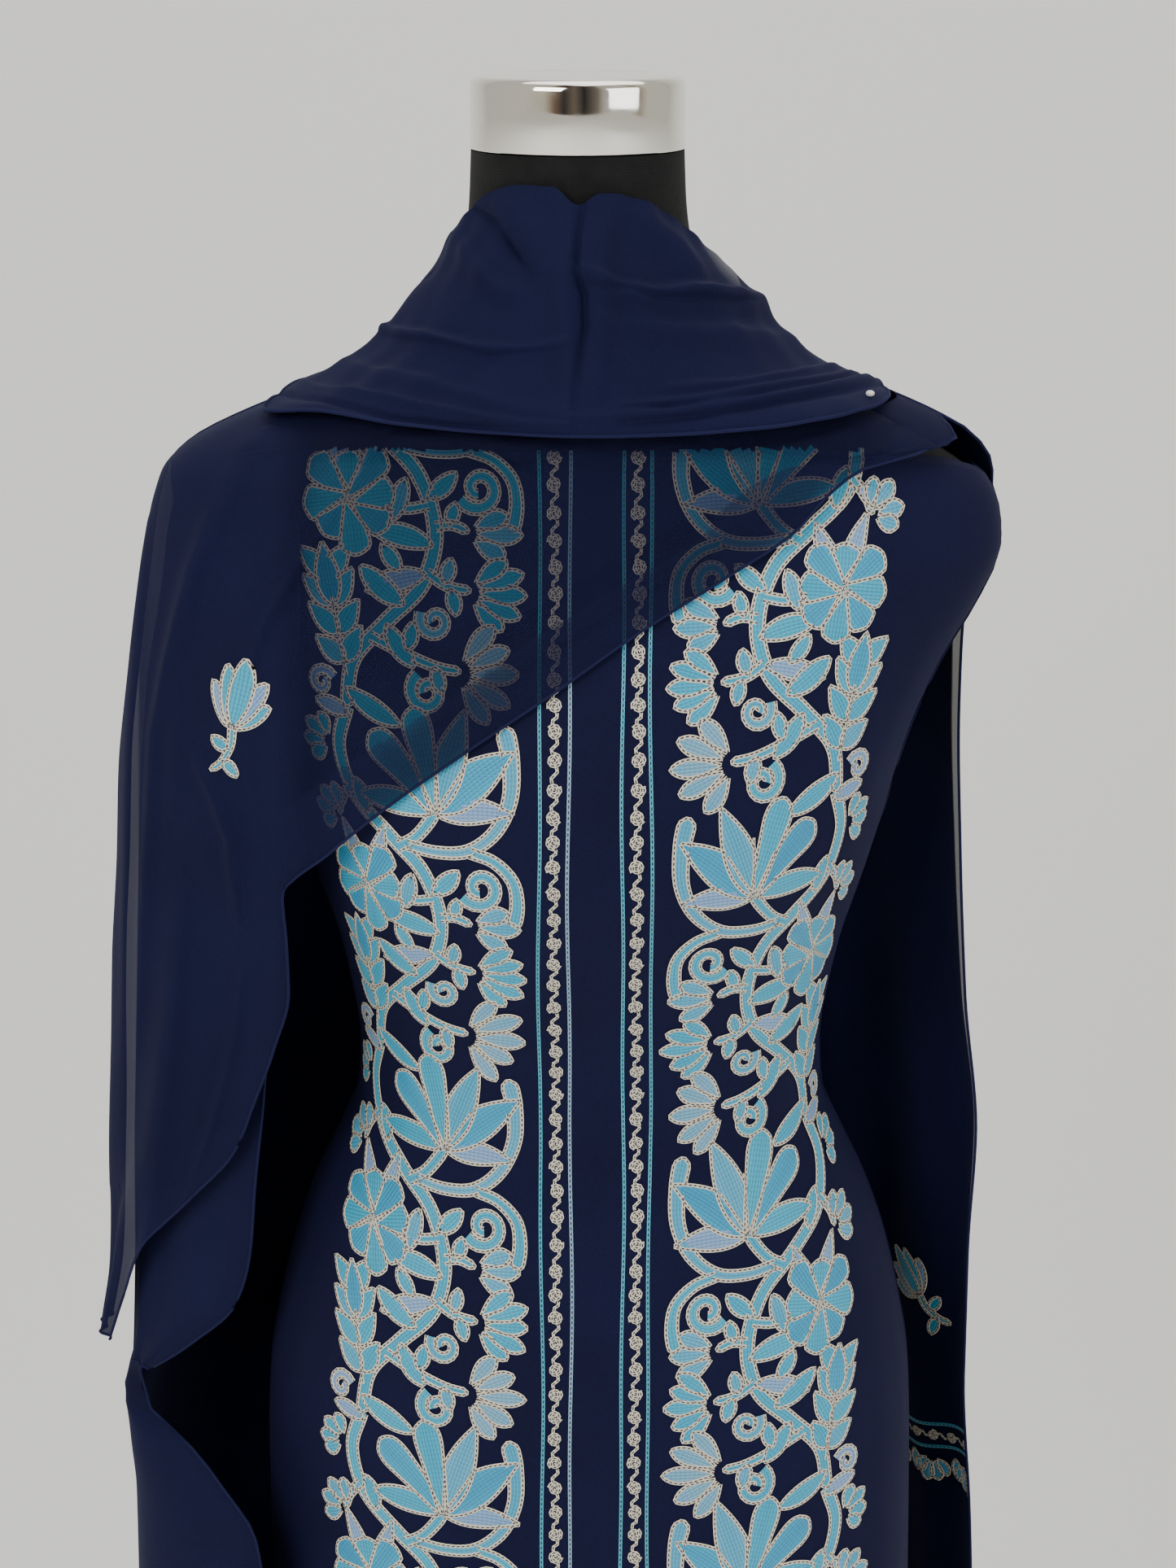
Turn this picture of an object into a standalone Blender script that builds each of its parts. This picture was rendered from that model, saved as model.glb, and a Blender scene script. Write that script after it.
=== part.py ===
"""A salwar kameez suit with its dupatta, draped on a limbless dress form that stands on a round foot.

Metres, +Z up. The origin is the middle of the foot's underside. The suit faces -Y and +X is the
viewer's right. An angle round the body is 0 at the front (-Y), 90 at +X and 180 at the back.
"""

import math
from collections import namedtuple

import bpy
from mathutils import Vector

# Driving sizes
CLOTH = 0.0014
SEAM = 0.0003
BODY_X = 0.001
NECK_X = -0.005
NECK_LEAN_Z = (1.340, 1.420)
FORM_BOTTOM_Z = 0.700
CAP_RADIUS = 0.0525
CAP_Z = (1.4640, 1.4990)
FOOT_RADIUS = 0.190
POLE_RADIUS = 0.0125
NECKLINE_Z = 1.312
HEM_Z = 0.330
CUFF_Z = (0.034, 0.090)

# Turned pieces of the stand, as radius and height
Turned = namedtuple("Turned", "radius z")
POLE_BORE = POLE_RADIUS + SEAM
POLE_Z = (0.0063, FORM_BOTTOM_Z - SEAM)
FOOT = [
    Turned(0, 0), Turned(FOOT_RADIUS, 0), Turned(FOOT_RADIUS, 0.006), Turned(FOOT_RADIUS - 0.004, 0.010),
    Turned(0.060, 0.014), Turned(0.024, 0.018), Turned(0.024, 0.030), Turned(POLE_BORE, 0.030),
    Turned(POLE_BORE, 0.006), Turned(0, 0.006),
]
POLE = [
    Turned(0, POLE_Z[0]), Turned(POLE_RADIUS, POLE_Z[0]), Turned(POLE_RADIUS, POLE_Z[1]),
    Turned(0, POLE_Z[1]),
]
COLLAR = [
    Turned(POLE_BORE, 0.672), Turned(0.022, 0.672), Turned(0.025, 0.676), Turned(0.025, POLE_Z[1]),
    Turned(POLE_BORE, POLE_Z[1]),
]
CAP_ROUND_EDGE = 0.006
CAP_CROWN = 0.0005

# The body: half width, depth to the front and to the back, and how square the section is
Section = namedtuple("Section", "z half front back power")
BODY = [
    Section(1.4637, 0.0520, 0.0520, 0.0520, 2.00),
    Section(1.4400, 0.0530, 0.0530, 0.0530, 2.00),
    Section(1.4200, 0.0555, 0.0540, 0.0560, 2.00),
    Section(1.4000, 0.0620, 0.0560, 0.0600, 2.00),
    Section(1.3850, 0.0710, 0.0580, 0.0640, 2.00),
    Section(1.3700, 0.0850, 0.0600, 0.0680, 2.05),
    Section(1.3550, 0.1040, 0.0620, 0.0720, 2.10),
    Section(1.3420, 0.1270, 0.0640, 0.0750, 2.15),
    Section(1.3300, 0.1500, 0.0660, 0.0780, 2.20),
    Section(1.3180, 0.1730, 0.0690, 0.0810, 2.25),
    Section(1.3060, 0.1900, 0.0720, 0.0840, 2.30),
    Section(1.2920, 0.2000, 0.0760, 0.0870, 2.30),
    Section(1.2750, 0.2020, 0.0820, 0.0900, 2.30),
    Section(1.2500, 0.1930, 0.0900, 0.0930, 2.30),
    Section(1.2200, 0.1770, 0.0990, 0.0950, 2.30),
    Section(1.1900, 0.1640, 0.1080, 0.0950, 2.30),
    Section(1.1600, 0.1530, 0.1150, 0.0930, 2.30),
    Section(1.1300, 0.1440, 0.1180, 0.0900, 2.30),
    Section(1.1000, 0.1360, 0.1130, 0.0860, 2.25),
    Section(1.0700, 0.1270, 0.1030, 0.0820, 2.20),
    Section(1.0400, 0.1210, 0.0940, 0.0790, 2.15),
    Section(1.0100, 0.1170, 0.0880, 0.0780, 2.10),
    Section(0.9850, 0.1180, 0.0880, 0.0820, 2.10),
    Section(0.9600, 0.1270, 0.0920, 0.0890, 2.15),
    Section(0.9300, 0.1400, 0.0980, 0.0990, 2.20),
    Section(0.9000, 0.1505, 0.1030, 0.1080, 2.25),
    Section(0.8650, 0.1590, 0.1070, 0.1150, 2.30),
    Section(0.8300, 0.1650, 0.1090, 0.1180, 2.30),
    Section(0.7900, 0.1660, 0.1080, 0.1150, 2.30),
    Section(0.7500, 0.1630, 0.1050, 0.1080, 2.25),
    Section(0.7200, 0.1560, 0.0990, 0.0990, 2.20),
    Section(0.7000, 0.1450, 0.0900, 0.0900, 2.15),
]

# The kameez hangs free below the hips
SKIRT = [
    Section(0.8300, 0.1650, 0.1090, 0.1180, 2.30),
    Section(0.7900, 0.1670, 0.1125, 0.1205, 2.30),
    Section(0.7400, 0.1678, 0.1160, 0.1235, 2.30),
    Section(0.6800, 0.1685, 0.1195, 0.1270, 2.25),
    Section(0.6100, 0.1705, 0.1230, 0.1310, 2.20),
    Section(0.5400, 0.1735, 0.1270, 0.1350, 2.15),
    Section(0.4700, 0.1765, 0.1315, 0.1395, 2.10),
    Section(0.4000, 0.1800, 0.1360, 0.1440, 2.05),
    Section(HEM_Z, 0.1835, 0.1405, 0.1485, 2.00),
]

# How far the inner face of the kameez stands off the body, at the bodice and over the salwar's yoke
Gap = namedtuple("Gap", "z off")
KAMEEZ_GAP = [
    Gap(1.306, 0.0016), Gap(1.285, 0.0020), Gap(1.262, 0.0031), Gap(1.250, 0.0031),
    Gap(1.130, 0.0020), Gap(1.090, 0.0010), Gap(0.985, 0.0012), Gap(0.960, 0.0022),
    Gap(0.930, 0.0032), Gap(HEM_Z, 0.0032),
]

# The top edge of a kameez panel, by the angle from the panel's own middle, and the height below which
# the panel doesn't follow it
TopPoint = namedtuple("TopPoint", "angle z")
KAMEEZ_TOP = [
    TopPoint(0, 1.3266), TopPoint(30, 1.3244), TopPoint(45, 1.3220), TopPoint(60, 1.3180),
    TopPoint(72, 1.3145), TopPoint(80, 1.3100), TopPoint(90, 1.3054),
]
TOP_FOLLOWED_FROM = 1.2750

# The side edge of a kameez panel, as an angle from the panel's own middle: shoulder seam, armhole,
# side seam and the open slit below the hip
SideEdge = namedtuple("SideEdge", "z angle")
SIDE_EDGE = [SideEdge(1.306, 90.0), SideEdge(1.275, 90.0), SideEdge(1.250, 80.0), SideEdge(1.220, 74.0),
             SideEdge(1.190, 72.0), SideEdge(1.160, 75.0), SideEdge(1.130, 84.0), SideEdge(1.100, 90.0),
             SideEdge(0.830, 90.0), SideEdge(0.790, 88.5), SideEdge(HEM_Z, 84.0)]
SEAM_ANGLE = 0.12

# Soft folds of the hanging skirt: where, how wide, how deep at the hem
Fold = namedtuple("Fold", "angle width depth")
FRONT_FOLDS = [Fold(-66, 11, 0.0090), Fold(-38, 9, 0.0050), Fold(-8, 10, 0.0030), Fold(27, 9, 0.0045),
               Fold(60, 12, 0.0085)]
BACK_FOLDS = [Fold(118, 11, 0.0080), Fold(150, 10, 0.0060), Fold(182, 11, 0.0075), Fold(214, 9, 0.0050),
              Fold(243, 12, 0.0080)]

# The dupatta's neck cowl: how far its outer face reaches at each height
COWL = [
    Section(1.4520, 0.0546, 0.0546, 0.0546, 2.00),
    Section(1.4400, 0.0565, 0.0590, 0.0570, 2.00),
    Section(1.4250, 0.0620, 0.0650, 0.0630, 2.00),
    Section(1.4100, 0.0700, 0.0705, 0.0680, 2.00),
    Section(1.3950, 0.0810, 0.0755, 0.0720, 2.00),
    Section(1.3800, 0.0915, 0.0800, 0.0760, 2.05),
    Section(1.3670, 0.1055, 0.0840, 0.0800, 2.10),
    Section(1.3550, 0.1255, 0.0875, 0.0840, 2.15),
    Section(1.3450, 0.1490, 0.0900, 0.0870, 2.20),
    Section(1.3350, 0.1750, 0.0920, 0.0900, 2.25),
    Section(1.3250, 0.1920, 0.0940, 0.0920, 2.30),
]
# Top edge and lower fold of the cowl round the neck
CowlColumn = namedtuple("CowlColumn", "angle top fold")
COWL_EDGES = [
    CowlColumn(-128, 1.3660, 1.3480), CowlColumn(-117, 1.3790, 1.3480), CowlColumn(-105, 1.3960, 1.3480),
    CowlColumn(-90, 1.4130, 1.3450), CowlColumn(-70, 1.4330, 1.3390),
    CowlColumn(-50, 1.4450, 1.3420), CowlColumn(-28, 1.4505, 1.3400), CowlColumn(-12, 1.4500, 1.3385),
    CowlColumn(0, 1.4420, 1.3375), CowlColumn(12, 1.4470, 1.3380), CowlColumn(32, 1.4440, 1.3395),
    CowlColumn(52, 1.4340, 1.3420), CowlColumn(70, 1.4220, 1.3440), CowlColumn(90, 1.4060, 1.3470),
    CowlColumn(105, 1.3920, 1.3480), CowlColumn(117, 1.3780, 1.3480), CowlColumn(128, 1.3660, 1.3480),
]
# Hollows and ridges of the cowl: angle, fall from the top edge (0) to the fold (1), size, depth
Dent = namedtuple("Dent", "angle fall wide tall depth")
COWL_DENTS = [Dent(0, 0.10, 9, 0.45, -0.0040), Dent(-30, 0.55, 26, 0.10, 0.0035),
              Dent(32, 0.42, 30, 0.10, 0.0035), Dent(58, 0.80, 26, 0.07, 0.0040),
              Dent(-62, 0.86, 26, 0.08, 0.0035), Dent(0, 0.97, 80, 0.09, 0.0040)]

# A hanging sheet: its front edge as a place across the body, and how far its section reaches
Drape = namedtuple("Drape", "z edge_x left right front")
CHEST = [
    Drape(1.3440, 0.1520, 0.1480, 0.1520, 0.0790),
    Drape(1.3350, 0.1720, 0.1700, 0.1720, 0.0805),
    Drape(1.3260, 0.1790, 0.1895, 0.1880, 0.0820),
    Drape(1.3190, 0.1340, 0.2010, 0.1970, 0.0830),
    Drape(1.3060, 0.1130, 0.2120, 0.2010, 0.0850),
    Drape(1.2900, 0.0980, 0.2185, 0.2050, 0.0875),
    Drape(1.2700, 0.0660, 0.2220, 0.2050, 0.0915),
    Drape(1.2450, 0.0240, 0.2255, 0.1950, 0.0984),
    Drape(1.2150, -0.0200, 0.2300, 0.1950, 0.1064),
    Drape(1.1850, -0.0650, 0.2345, 0.1950, 0.1124),
    Drape(1.1600, -0.0980, 0.2375, 0.1950, 0.1110),
    Drape(1.1350, -0.1260, 0.2390, 0.1950, 0.1070),
    Drape(1.1100, -0.1500, 0.2405, 0.1950, 0.1030),
    Drape(1.0850, -0.1485, 0.2425, 0.1950, 0.1000),
    Drape(1.0600, -0.1480, 0.2443, 0.1950, 0.0980),
    Drape(1.0300, -0.1560, 0.2455, 0.1950, 0.0960),
    Drape(1.0000, -0.1670, 0.2465, 0.1950, 0.0940),
    Drape(0.9700, -0.1790, 0.2475, 0.1950, 0.0920),
    Drape(0.9400, -0.2030, 0.2487, 0.1950, 0.0900),
    Drape(0.9100, -0.2270, 0.2500, 0.1950, 0.0885),
    Drape(0.8800, -0.2400, 0.2520, 0.1950, 0.0870),
    Drape(0.8450, -0.2520, 0.2577, 0.1950, 0.0860),
]
CHEST_BACK_ANGLE = -97.0
CHEST_RIPPLE = 0.004
MIDDLE_FALL = [
    Drape(1.3020, -0.1450, 0.2035, 0.1950, 0.0785),
    Drape(1.2850, -0.1400, 0.2095, 0.1950, 0.0862),
    Drape(1.2500, -0.1400, 0.2150, 0.1950, 0.0950),
    Drape(1.2000, -0.1500, 0.2240, 0.1950, 0.0990),
    Drape(1.1500, -0.1600, 0.2290, 0.1950, 0.0970),
    Drape(1.1000, -0.1600, 0.2320, 0.1950, 0.0940),
    Drape(1.0500, -0.1600, 0.2345, 0.1950, 0.0890),
    Drape(1.0000, -0.1640, 0.2370, 0.1950, 0.0860),
    Drape(0.9500, -0.1700, 0.2390, 0.1950, 0.0830),
    Drape(0.9100, -0.1740, 0.2405, 0.1950, 0.0810),
    Drape(0.8800, -0.1830, 0.2415, 0.1950, 0.0800),
    Drape(0.8550, -0.2060, 0.2425, 0.1950, 0.0790),
    Drape(0.8300, -0.2330, 0.2440, 0.1950, 0.0780),
]
MIDDLE_BACK_ANGLE = -85.0
MIDDLE_RIPPLE = 0.002
DRAPE_POWER = 2.2
DRAPE_WAVES = 2.5

# The falls behind the shoulders: the angles of their two edges, and how far their section reaches
Fall = namedtuple("Fall", "z start stop half back")
REAR_FALL = [
    Fall(1.3440, -96.4, -136, 0.1480, 0.0890),
    Fall(1.3350, -96.4, -139, 0.1700, 0.0930),
    Fall(1.3260, -96.4, -141, 0.1895, 0.0955),
    Fall(1.3060, -96.4, -143, 0.2119, 0.0985),
    Fall(1.2850, -93, -145, 0.2085, 0.1010),
    Fall(1.2500, -91, -147, 0.2105, 0.1035),
    Fall(1.2000, -90, -149, 0.2140, 0.1065),
    Fall(1.1400, -90, -153, 0.2180, 0.1090),
    Fall(1.0700, -90, -154, 0.2230, 0.1120),
    Fall(1.0000, -90, -153, 0.2275, 0.1150),
    Fall(0.9200, -90, -149, 0.2320, 0.1210),
    Fall(0.8500, -90, -146, 0.2370, 0.1280),
    Fall(0.8200, -84, -145, 0.2400, 0.1305),
    Fall(0.8060, -58, -145, 0.2412, 0.1318),
    Fall(0.7900, -50, -145, 0.2425, 0.1330), Fall(0.7650, -43, -145, 0.2435, 0.1345),
    Fall(0.7200, -41, -144, 0.2450, 0.1370),
    Fall(0.6300, -47, -143, 0.2460, 0.1430),
    Fall(0.5400, -53, -142, 0.2465, 0.1490),
    Fall(0.4500, -58, -141, 0.2470, 0.1560),
]
RIGHT_FALL = [
    Fall(1.3440, 90.2, 136, 0.1520, 0.0890),
    Fall(1.3350, 90.2, 139, 0.1720, 0.0930),
    Fall(1.3260, 90.2, 141, 0.1880, 0.0955),
    Fall(1.3060, 97, 143, 0.2035, 0.0985),
    Fall(1.2800, 105, 145, 0.2090, 0.1015),
    Fall(1.2400, 107, 147, 0.2020, 0.1045),
    Fall(1.1800, 103, 148, 0.1955, 0.1075),
    Fall(1.1000, 103, 148, 0.1985, 0.1110),
    Fall(1.0200, 103, 147, 0.2035, 0.1150),
    Fall(0.9400, 102, 146, 0.2110, 0.1200),
    Fall(0.8700, 102, 145, 0.2085, 0.1270),
    Fall(0.8000, 102, 144, 0.2085, 0.1320),
    Fall(0.7200, 102, 143, 0.2140, 0.1370),
    Fall(0.6300, 103, 142, 0.2190, 0.1430),
    Fall(0.5400, 104, 141, 0.2230, 0.1490),
    Fall(0.4500, 105, 140, 0.2270, 0.1560),
]
FALL_RIPPLE = 0.0045
FALL_WAVES = 2
FALL_FRONT_SHARE = 0.9

# The salwar: the yoke round the hips, then two legs that narrow to the cuffs
YOKE = [
    Section(0.9300, 0.1400, 0.0980, 0.0990, 2.20),
    Section(0.9000, 0.1505, 0.1030, 0.1080, 2.25),
    Section(0.8650, 0.1590, 0.1070, 0.1150, 2.30),
    Section(0.8300, 0.1650, 0.1090, 0.1180, 2.30),
    Section(0.7900, 0.1660, 0.1080, 0.1150, 2.30),
    Section(0.7400, 0.1655, 0.1070, 0.1140, 2.30),
    Section(0.6900, 0.1650, 0.1065, 0.1130, 2.30),
]
YOKE_GAP = 0.0008
Leg = namedtuple("Leg", "z inner outer front back round")
RIGHT_LEG = [
    Leg(0.6897, -0.0297, 0.1650, 0.1065, 0.1130, 0.00),
    Leg(0.6300, -0.0290, 0.1620, 0.1060, 0.1100, 0.35),
    Leg(0.5500, -0.0270, 0.1530, 0.1010, 0.1030, 0.70),
    Leg(0.4600, -0.0245, 0.1450, 0.0960, 0.0970, 1.00),
    Leg(0.3700, -0.0225, 0.1370, 0.0890, 0.0900, 1.00),
    Leg(0.2800, -0.0210, 0.1260, 0.0800, 0.0810, 1.00),
    Leg(0.1900, -0.0200, 0.1110, 0.0690, 0.0700, 1.00),
    Leg(0.1300, -0.0190, 0.0980, 0.0590, 0.0600, 1.00),
    Leg(0.0903, -0.0180, 0.0880, 0.0530, 0.0530, 1.00),
]
LEFT_LEG = [
    Leg(0.6897, -0.0303, -0.1630, 0.1065, 0.1130, 0.00),
    Leg(0.6300, -0.0320, -0.1620, 0.1060, 0.1100, 0.35),
    Leg(0.5500, -0.0350, -0.1590, 0.1010, 0.1030, 0.70),
    Leg(0.4600, -0.0375, -0.1590, 0.0960, 0.0970, 1.00),
    Leg(0.3700, -0.0395, -0.1610, 0.0890, 0.0900, 1.00),
    Leg(0.2800, -0.0410, -0.1620, 0.0800, 0.0810, 1.00),
    Leg(0.1900, -0.0425, -0.1590, 0.0690, 0.0700, 1.00),
    Leg(0.1300, -0.0440, -0.1550, 0.0590, 0.0600, 1.00),
    Leg(0.0903, -0.0450, -0.1510, 0.0530, 0.0530, 1.00),
]
LEG_PLEATS = 8
LEG_PLEAT_DEPTH = 0.0035
LEG_LENGTH = 0.6
LEG_OVAL_START = -58.0

BODY_COLUMNS = 36
KAMEEZ_COLUMNS = 18
COWL_ROWS = 9
CHEST_COLUMNS = 16
FALL_COLUMNS = 8
LEG_OUTER_COLUMNS = 18
LEG_SEAM_COLUMNS = 4

# Colour, roughness and metallic value of each material
Finish = namedtuple("Finish", "colour roughness metallic")
FINISHES = {
    "kameez_cloth": Finish((0.010, 0.013, 0.060), 0.80, 0.0),
    "dupatta_cloth": Finish((0.012, 0.016, 0.075), 0.75, 0.0),
    "salwar_cloth": Finish((0.009, 0.012, 0.052), 0.80, 0.0),
    "form_cloth": Finish((0.012, 0.012, 0.013), 0.90, 0.0),
    "chrome": Finish((0.80, 0.79, 0.78), 0.12, 1.0),
}


def material(name):
    """Return the named material, made on first use."""
    if name in bpy.data.materials:
        return bpy.data.materials[name]
    made = bpy.data.materials.new(name)
    made.use_nodes = True
    finish = FINISHES[name]
    shader = made.node_tree.nodes["Principled BSDF"]
    shader.inputs["Base Color"].default_value = (*finish.colour, 1.0)
    shader.inputs["Roughness"].default_value = finish.roughness
    shader.inputs["Metallic"].default_value = finish.metallic
    return made


def add_object(name, points, faces, material_name):
    """Make one smooth-shaded object from points and faces."""
    mesh = bpy.data.meshes.new(name)
    mesh.from_pydata([tuple(point) for point in points], [], faces)
    mesh.validate()
    mesh.shade_smooth()
    mesh.set_sharp_from_angle(angle=math.radians(40))
    mesh.materials.append(material(material_name))
    made = bpy.data.objects.new(name, mesh)
    bpy.context.scene.collection.objects.link(made)
    return made


def blend(low, high, share):
    return low + (high - low) * share


def row_at(table, value):
    """Return the table's row at a value of its first column, blended between its neighbours."""
    rows = sorted(table, key=lambda row: row[0])
    value = min(max(value, rows[0][0]), rows[-1][0])
    for low, high in zip(rows, rows[1:]):
        if value <= high[0]:
            share = (value - low[0]) / (high[0] - low[0])
            return type(low)(*(blend(a, b, share) for a, b in zip(low, high)))
    return rows[-1]


def centre_x(z):
    """The neck leans a little to one side of the body."""
    low, high = NECK_LEAN_Z
    return blend(BODY_X, NECK_X, min(max((z - low) / (high - low), 0.0), 1.0))


def ring_point(z, angle, left, right, front, back, power):
    """Point of a rounded section at an angle, with its own reach to each side."""
    turn = math.radians(angle)
    across, along = math.sin(turn), -math.cos(turn)
    half = right if across > 0 else left
    depth = back if along > 0 else front
    x = half * math.copysign(abs(across) ** (2 / power), across)
    y = depth * math.copysign(abs(along) ** (2 / power), along)
    return Vector((centre_x(z) + x, y, z))


def section_point(table, z, angle):
    row = row_at(table, z)
    return ring_point(z, angle, row.half, row.half, row.front, row.back, row.power)


def outward(surface, z, angle):
    """Unit normal of a surface given as a function of height and angle."""
    step_z, step_angle = 0.004, 2.0
    along = surface(z, angle + step_angle) - surface(z, angle - step_angle)
    up = surface(z + step_z, angle) - surface(z - step_z, angle)
    return along.cross(up).normalized()


def slab(name, outer, inner, material_name, closed=False):
    """Closed wall between two grids of points. A closed grid runs right round, like a sleeve."""
    rows, columns = len(outer), len(outer[0])
    points = [point for grid in (outer, inner) for row in grid for point in row]
    span = columns if closed else columns - 1

    def at(side, row, column):
        return (side * rows + row) * columns + column % columns

    faces = []
    for i in range(rows - 1):
        for j in range(span):
            faces.append((at(0, i, j), at(0, i, j + 1), at(0, i + 1, j + 1), at(0, i + 1, j)))
            faces.append((at(1, i, j), at(1, i + 1, j), at(1, i + 1, j + 1), at(1, i, j + 1)))
    for j in range(span):
        faces.append((at(0, 0, j), at(1, 0, j), at(1, 0, j + 1), at(0, 0, j + 1)))
        last = rows - 1
        faces.append((at(0, last, j), at(0, last, j + 1), at(1, last, j + 1), at(1, last, j)))
    if not closed:
        end = columns - 1
        for i in range(rows - 1):
            faces.append((at(0, i, 0), at(0, i + 1, 0), at(1, i + 1, 0), at(1, i, 0)))
            faces.append((at(0, i, end), at(1, i, end), at(1, i + 1, end), at(0, i + 1, end)))
    faces = [tuple(reversed(face)) for face in faces]
    return add_object(name, points, faces, material_name)


def lathe(name, profile, material_name, segments=40):
    """Turned solid from a profile of radius and height that starts and ends on the axis or closes."""
    points, rings = [], []
    for radius, z in profile:
        if radius == 0:
            rings.append([len(points)])
            points.append(Vector((0, 0, z)))
            continue
        rings.append(list(range(len(points), len(points) + segments)))
        for k in range(segments):
            turn = 2 * math.pi * k / segments
            points.append(Vector((radius * math.cos(turn), radius * math.sin(turn), z)))
    faces = []
    pairs = list(zip(rings, rings[1:]))
    if profile[0][0] != 0:
        pairs.append((rings[-1], rings[0]))
    for low, high in pairs:
        for k in range(segments):
            nxt = (k + 1) % segments
            if len(low) == 1:
                faces.append((low[0], high[nxt], high[k]))
            elif len(high) == 1:
                faces.append((low[k], low[nxt], high[0]))
            else:
                faces.append((low[k], low[nxt], high[nxt], high[k]))
    return add_object(name, points, faces, material_name)


def body_surface(z, angle):
    return section_point(BODY, z, angle)


def kameez_surface(z, angle):
    return section_point(BODY if z >= SKIRT[0].z else SKIRT, z, angle)


def fold_depth(folds, z, angle):
    """Swell of the skirt's folds, which grow from the hips down to the hem."""
    share = min(max((SKIRT[0].z - z) / (SKIRT[0].z - HEM_Z), 0.0), 1.0)
    swell = sum(fold.depth * math.exp(-(((angle - fold.angle) / fold.width) ** 2)) for fold in folds)
    return share * swell


def make_torso():
    """Solid padded torso and neck of the dress form."""
    points = []
    for row in BODY:
        for k in range(BODY_COLUMNS):
            points.append(body_surface(row.z, 360 * k / BODY_COLUMNS))
    faces = []
    for i in range(len(BODY) - 1):
        for k in range(BODY_COLUMNS):
            nxt = (k + 1) % BODY_COLUMNS
            low, high = i * BODY_COLUMNS, (i + 1) * BODY_COLUMNS
            faces.append((low + k, high + k, high + nxt, low + nxt))
    faces.append(tuple(range(BODY_COLUMNS)))
    last = (len(BODY) - 1) * BODY_COLUMNS
    faces.append(tuple(last + k for k in reversed(range(BODY_COLUMNS))))
    add_object("form_torso", points, faces, "form_cloth")


def make_stand():
    """Neck cap, collar, pole and round foot."""
    low, high = CAP_Z
    shoulder = CAP_RADIUS - CAP_ROUND_EDGE
    cap = [(0, low), (CAP_RADIUS, low), (CAP_RADIUS, high - CAP_ROUND_EDGE)]
    for k in range(1, 4):
        turn = math.pi / 2 * k / 3
        cap.append((shoulder + CAP_ROUND_EDGE * math.cos(turn),
                    high - CAP_ROUND_EDGE + CAP_ROUND_EDGE * math.sin(turn)))
    cap.append((0, high + CAP_CROWN))
    made = lathe("form_neck_cap", cap, "chrome", 48)
    made.location.x = NECK_X
    lathe("stand_foot", FOOT, "chrome", 48)
    lathe("stand_pole", POLE, "chrome", 24)
    lathe("form_collar", COLLAR, "chrome", 24)


def kameez_panel(name, middle, folds):
    """One kameez panel, centred on an angle, from its top edge to the hem."""
    heights = [NECKLINE_Z] + [row.z for row in BODY if SKIRT[0].z < row.z < NECKLINE_Z]
    heights += [row.z for row in SKIRT]
    outer, inner = [], []
    for z in heights:
        edge = row_at(SIDE_EDGE, z).angle - SEAM_ANGLE
        gap = row_at(KAMEEZ_GAP, z).off
        outer_row, inner_row = [], []
        for k in range(KAMEEZ_COLUMNS + 1):
            off_middle = edge * (2 * k / KAMEEZ_COLUMNS - 1)
            angle = middle + off_middle
            height = z
            if z > TOP_FOLLOWED_FROM:
                top = row_at(KAMEEZ_TOP, abs(off_middle)).z
                share = (z - TOP_FOLLOWED_FROM) / (NECKLINE_Z - TOP_FOLLOWED_FROM)
                height = blend(TOP_FOLLOWED_FROM, top, share)
            point = kameez_surface(height, angle)
            normal = outward(kameez_surface, height, angle)
            off = gap + fold_depth(folds, z, angle)
            inner_row.append(point + normal * off)
            outer_row.append(point + normal * (off + CLOTH))
        outer.append(outer_row)
        inner.append(inner_row)
    slab(name, outer, inner, "kameez_cloth")


def cowl_surface(z, angle):
    return section_point(COWL, z, angle)


def make_cowl():
    """Neck cowl of the dupatta, from its top edge down to its lower fold."""
    outer, inner = [], []
    for i in range(COWL_ROWS + 1):
        fall = i / COWL_ROWS
        outer_row, inner_row = [], []
        for column in COWL_EDGES:
            z = blend(column.top, column.fold, fall)
            swell = 0.0
            for dent in COWL_DENTS:
                far = ((column.angle - dent.angle) / dent.wide) ** 2 + ((fall - dent.fall) / dent.tall) ** 2
                swell += dent.depth * math.exp(-far)
            point = cowl_surface(z, column.angle)
            normal = outward(cowl_surface, z, column.angle)
            outer_row.append(point + normal * swell)
            inner_row.append(point + normal * (swell - CLOTH))
        outer.append(outer_row)
        inner.append(inner_row)
    slab("dupatta_cowl", outer, inner, "dupatta_cloth")


def drape_sheet(name, table, back_angle, ripple):
    """Sheet hanging at the front, from its free edge round to its outer edge at the viewer's left."""
    def surface(z, angle):
        row = row_at(table, z)
        return ring_point(z, angle, row.left, row.right, row.front, row.front, DRAPE_POWER)

    def edge_angle(row):
        half = row.right if row.edge_x > 0 else row.left
        share = min(abs(row.edge_x) / half, 1.0) ** (DRAPE_POWER / 2)
        return math.copysign(math.degrees(math.asin(share)), row.edge_x)

    outer, inner = [], []
    top, bottom = table[0].z, table[-1].z
    for row in table:
        start = edge_angle(row)
        fall = (top - row.z) / (top - bottom)
        outer_row, inner_row = [], []
        for k in range(CHEST_COLUMNS + 1):
            share = k / CHEST_COLUMNS
            angle = blend(start, back_angle, share)
            wave = math.sin(2 * math.pi * DRAPE_WAVES * share + 3 * fall)
            swell = ripple * fall * (1 + wave) / 2
            point = surface(row.z, angle)
            normal = outward(surface, row.z, angle)
            outer_row.append(point + normal * swell)
            inner_row.append(point + normal * (swell - CLOTH))
        outer.append(outer_row[::-1])
        inner.append(inner_row[::-1])
    slab(name, outer, inner, "dupatta_cloth")


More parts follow.
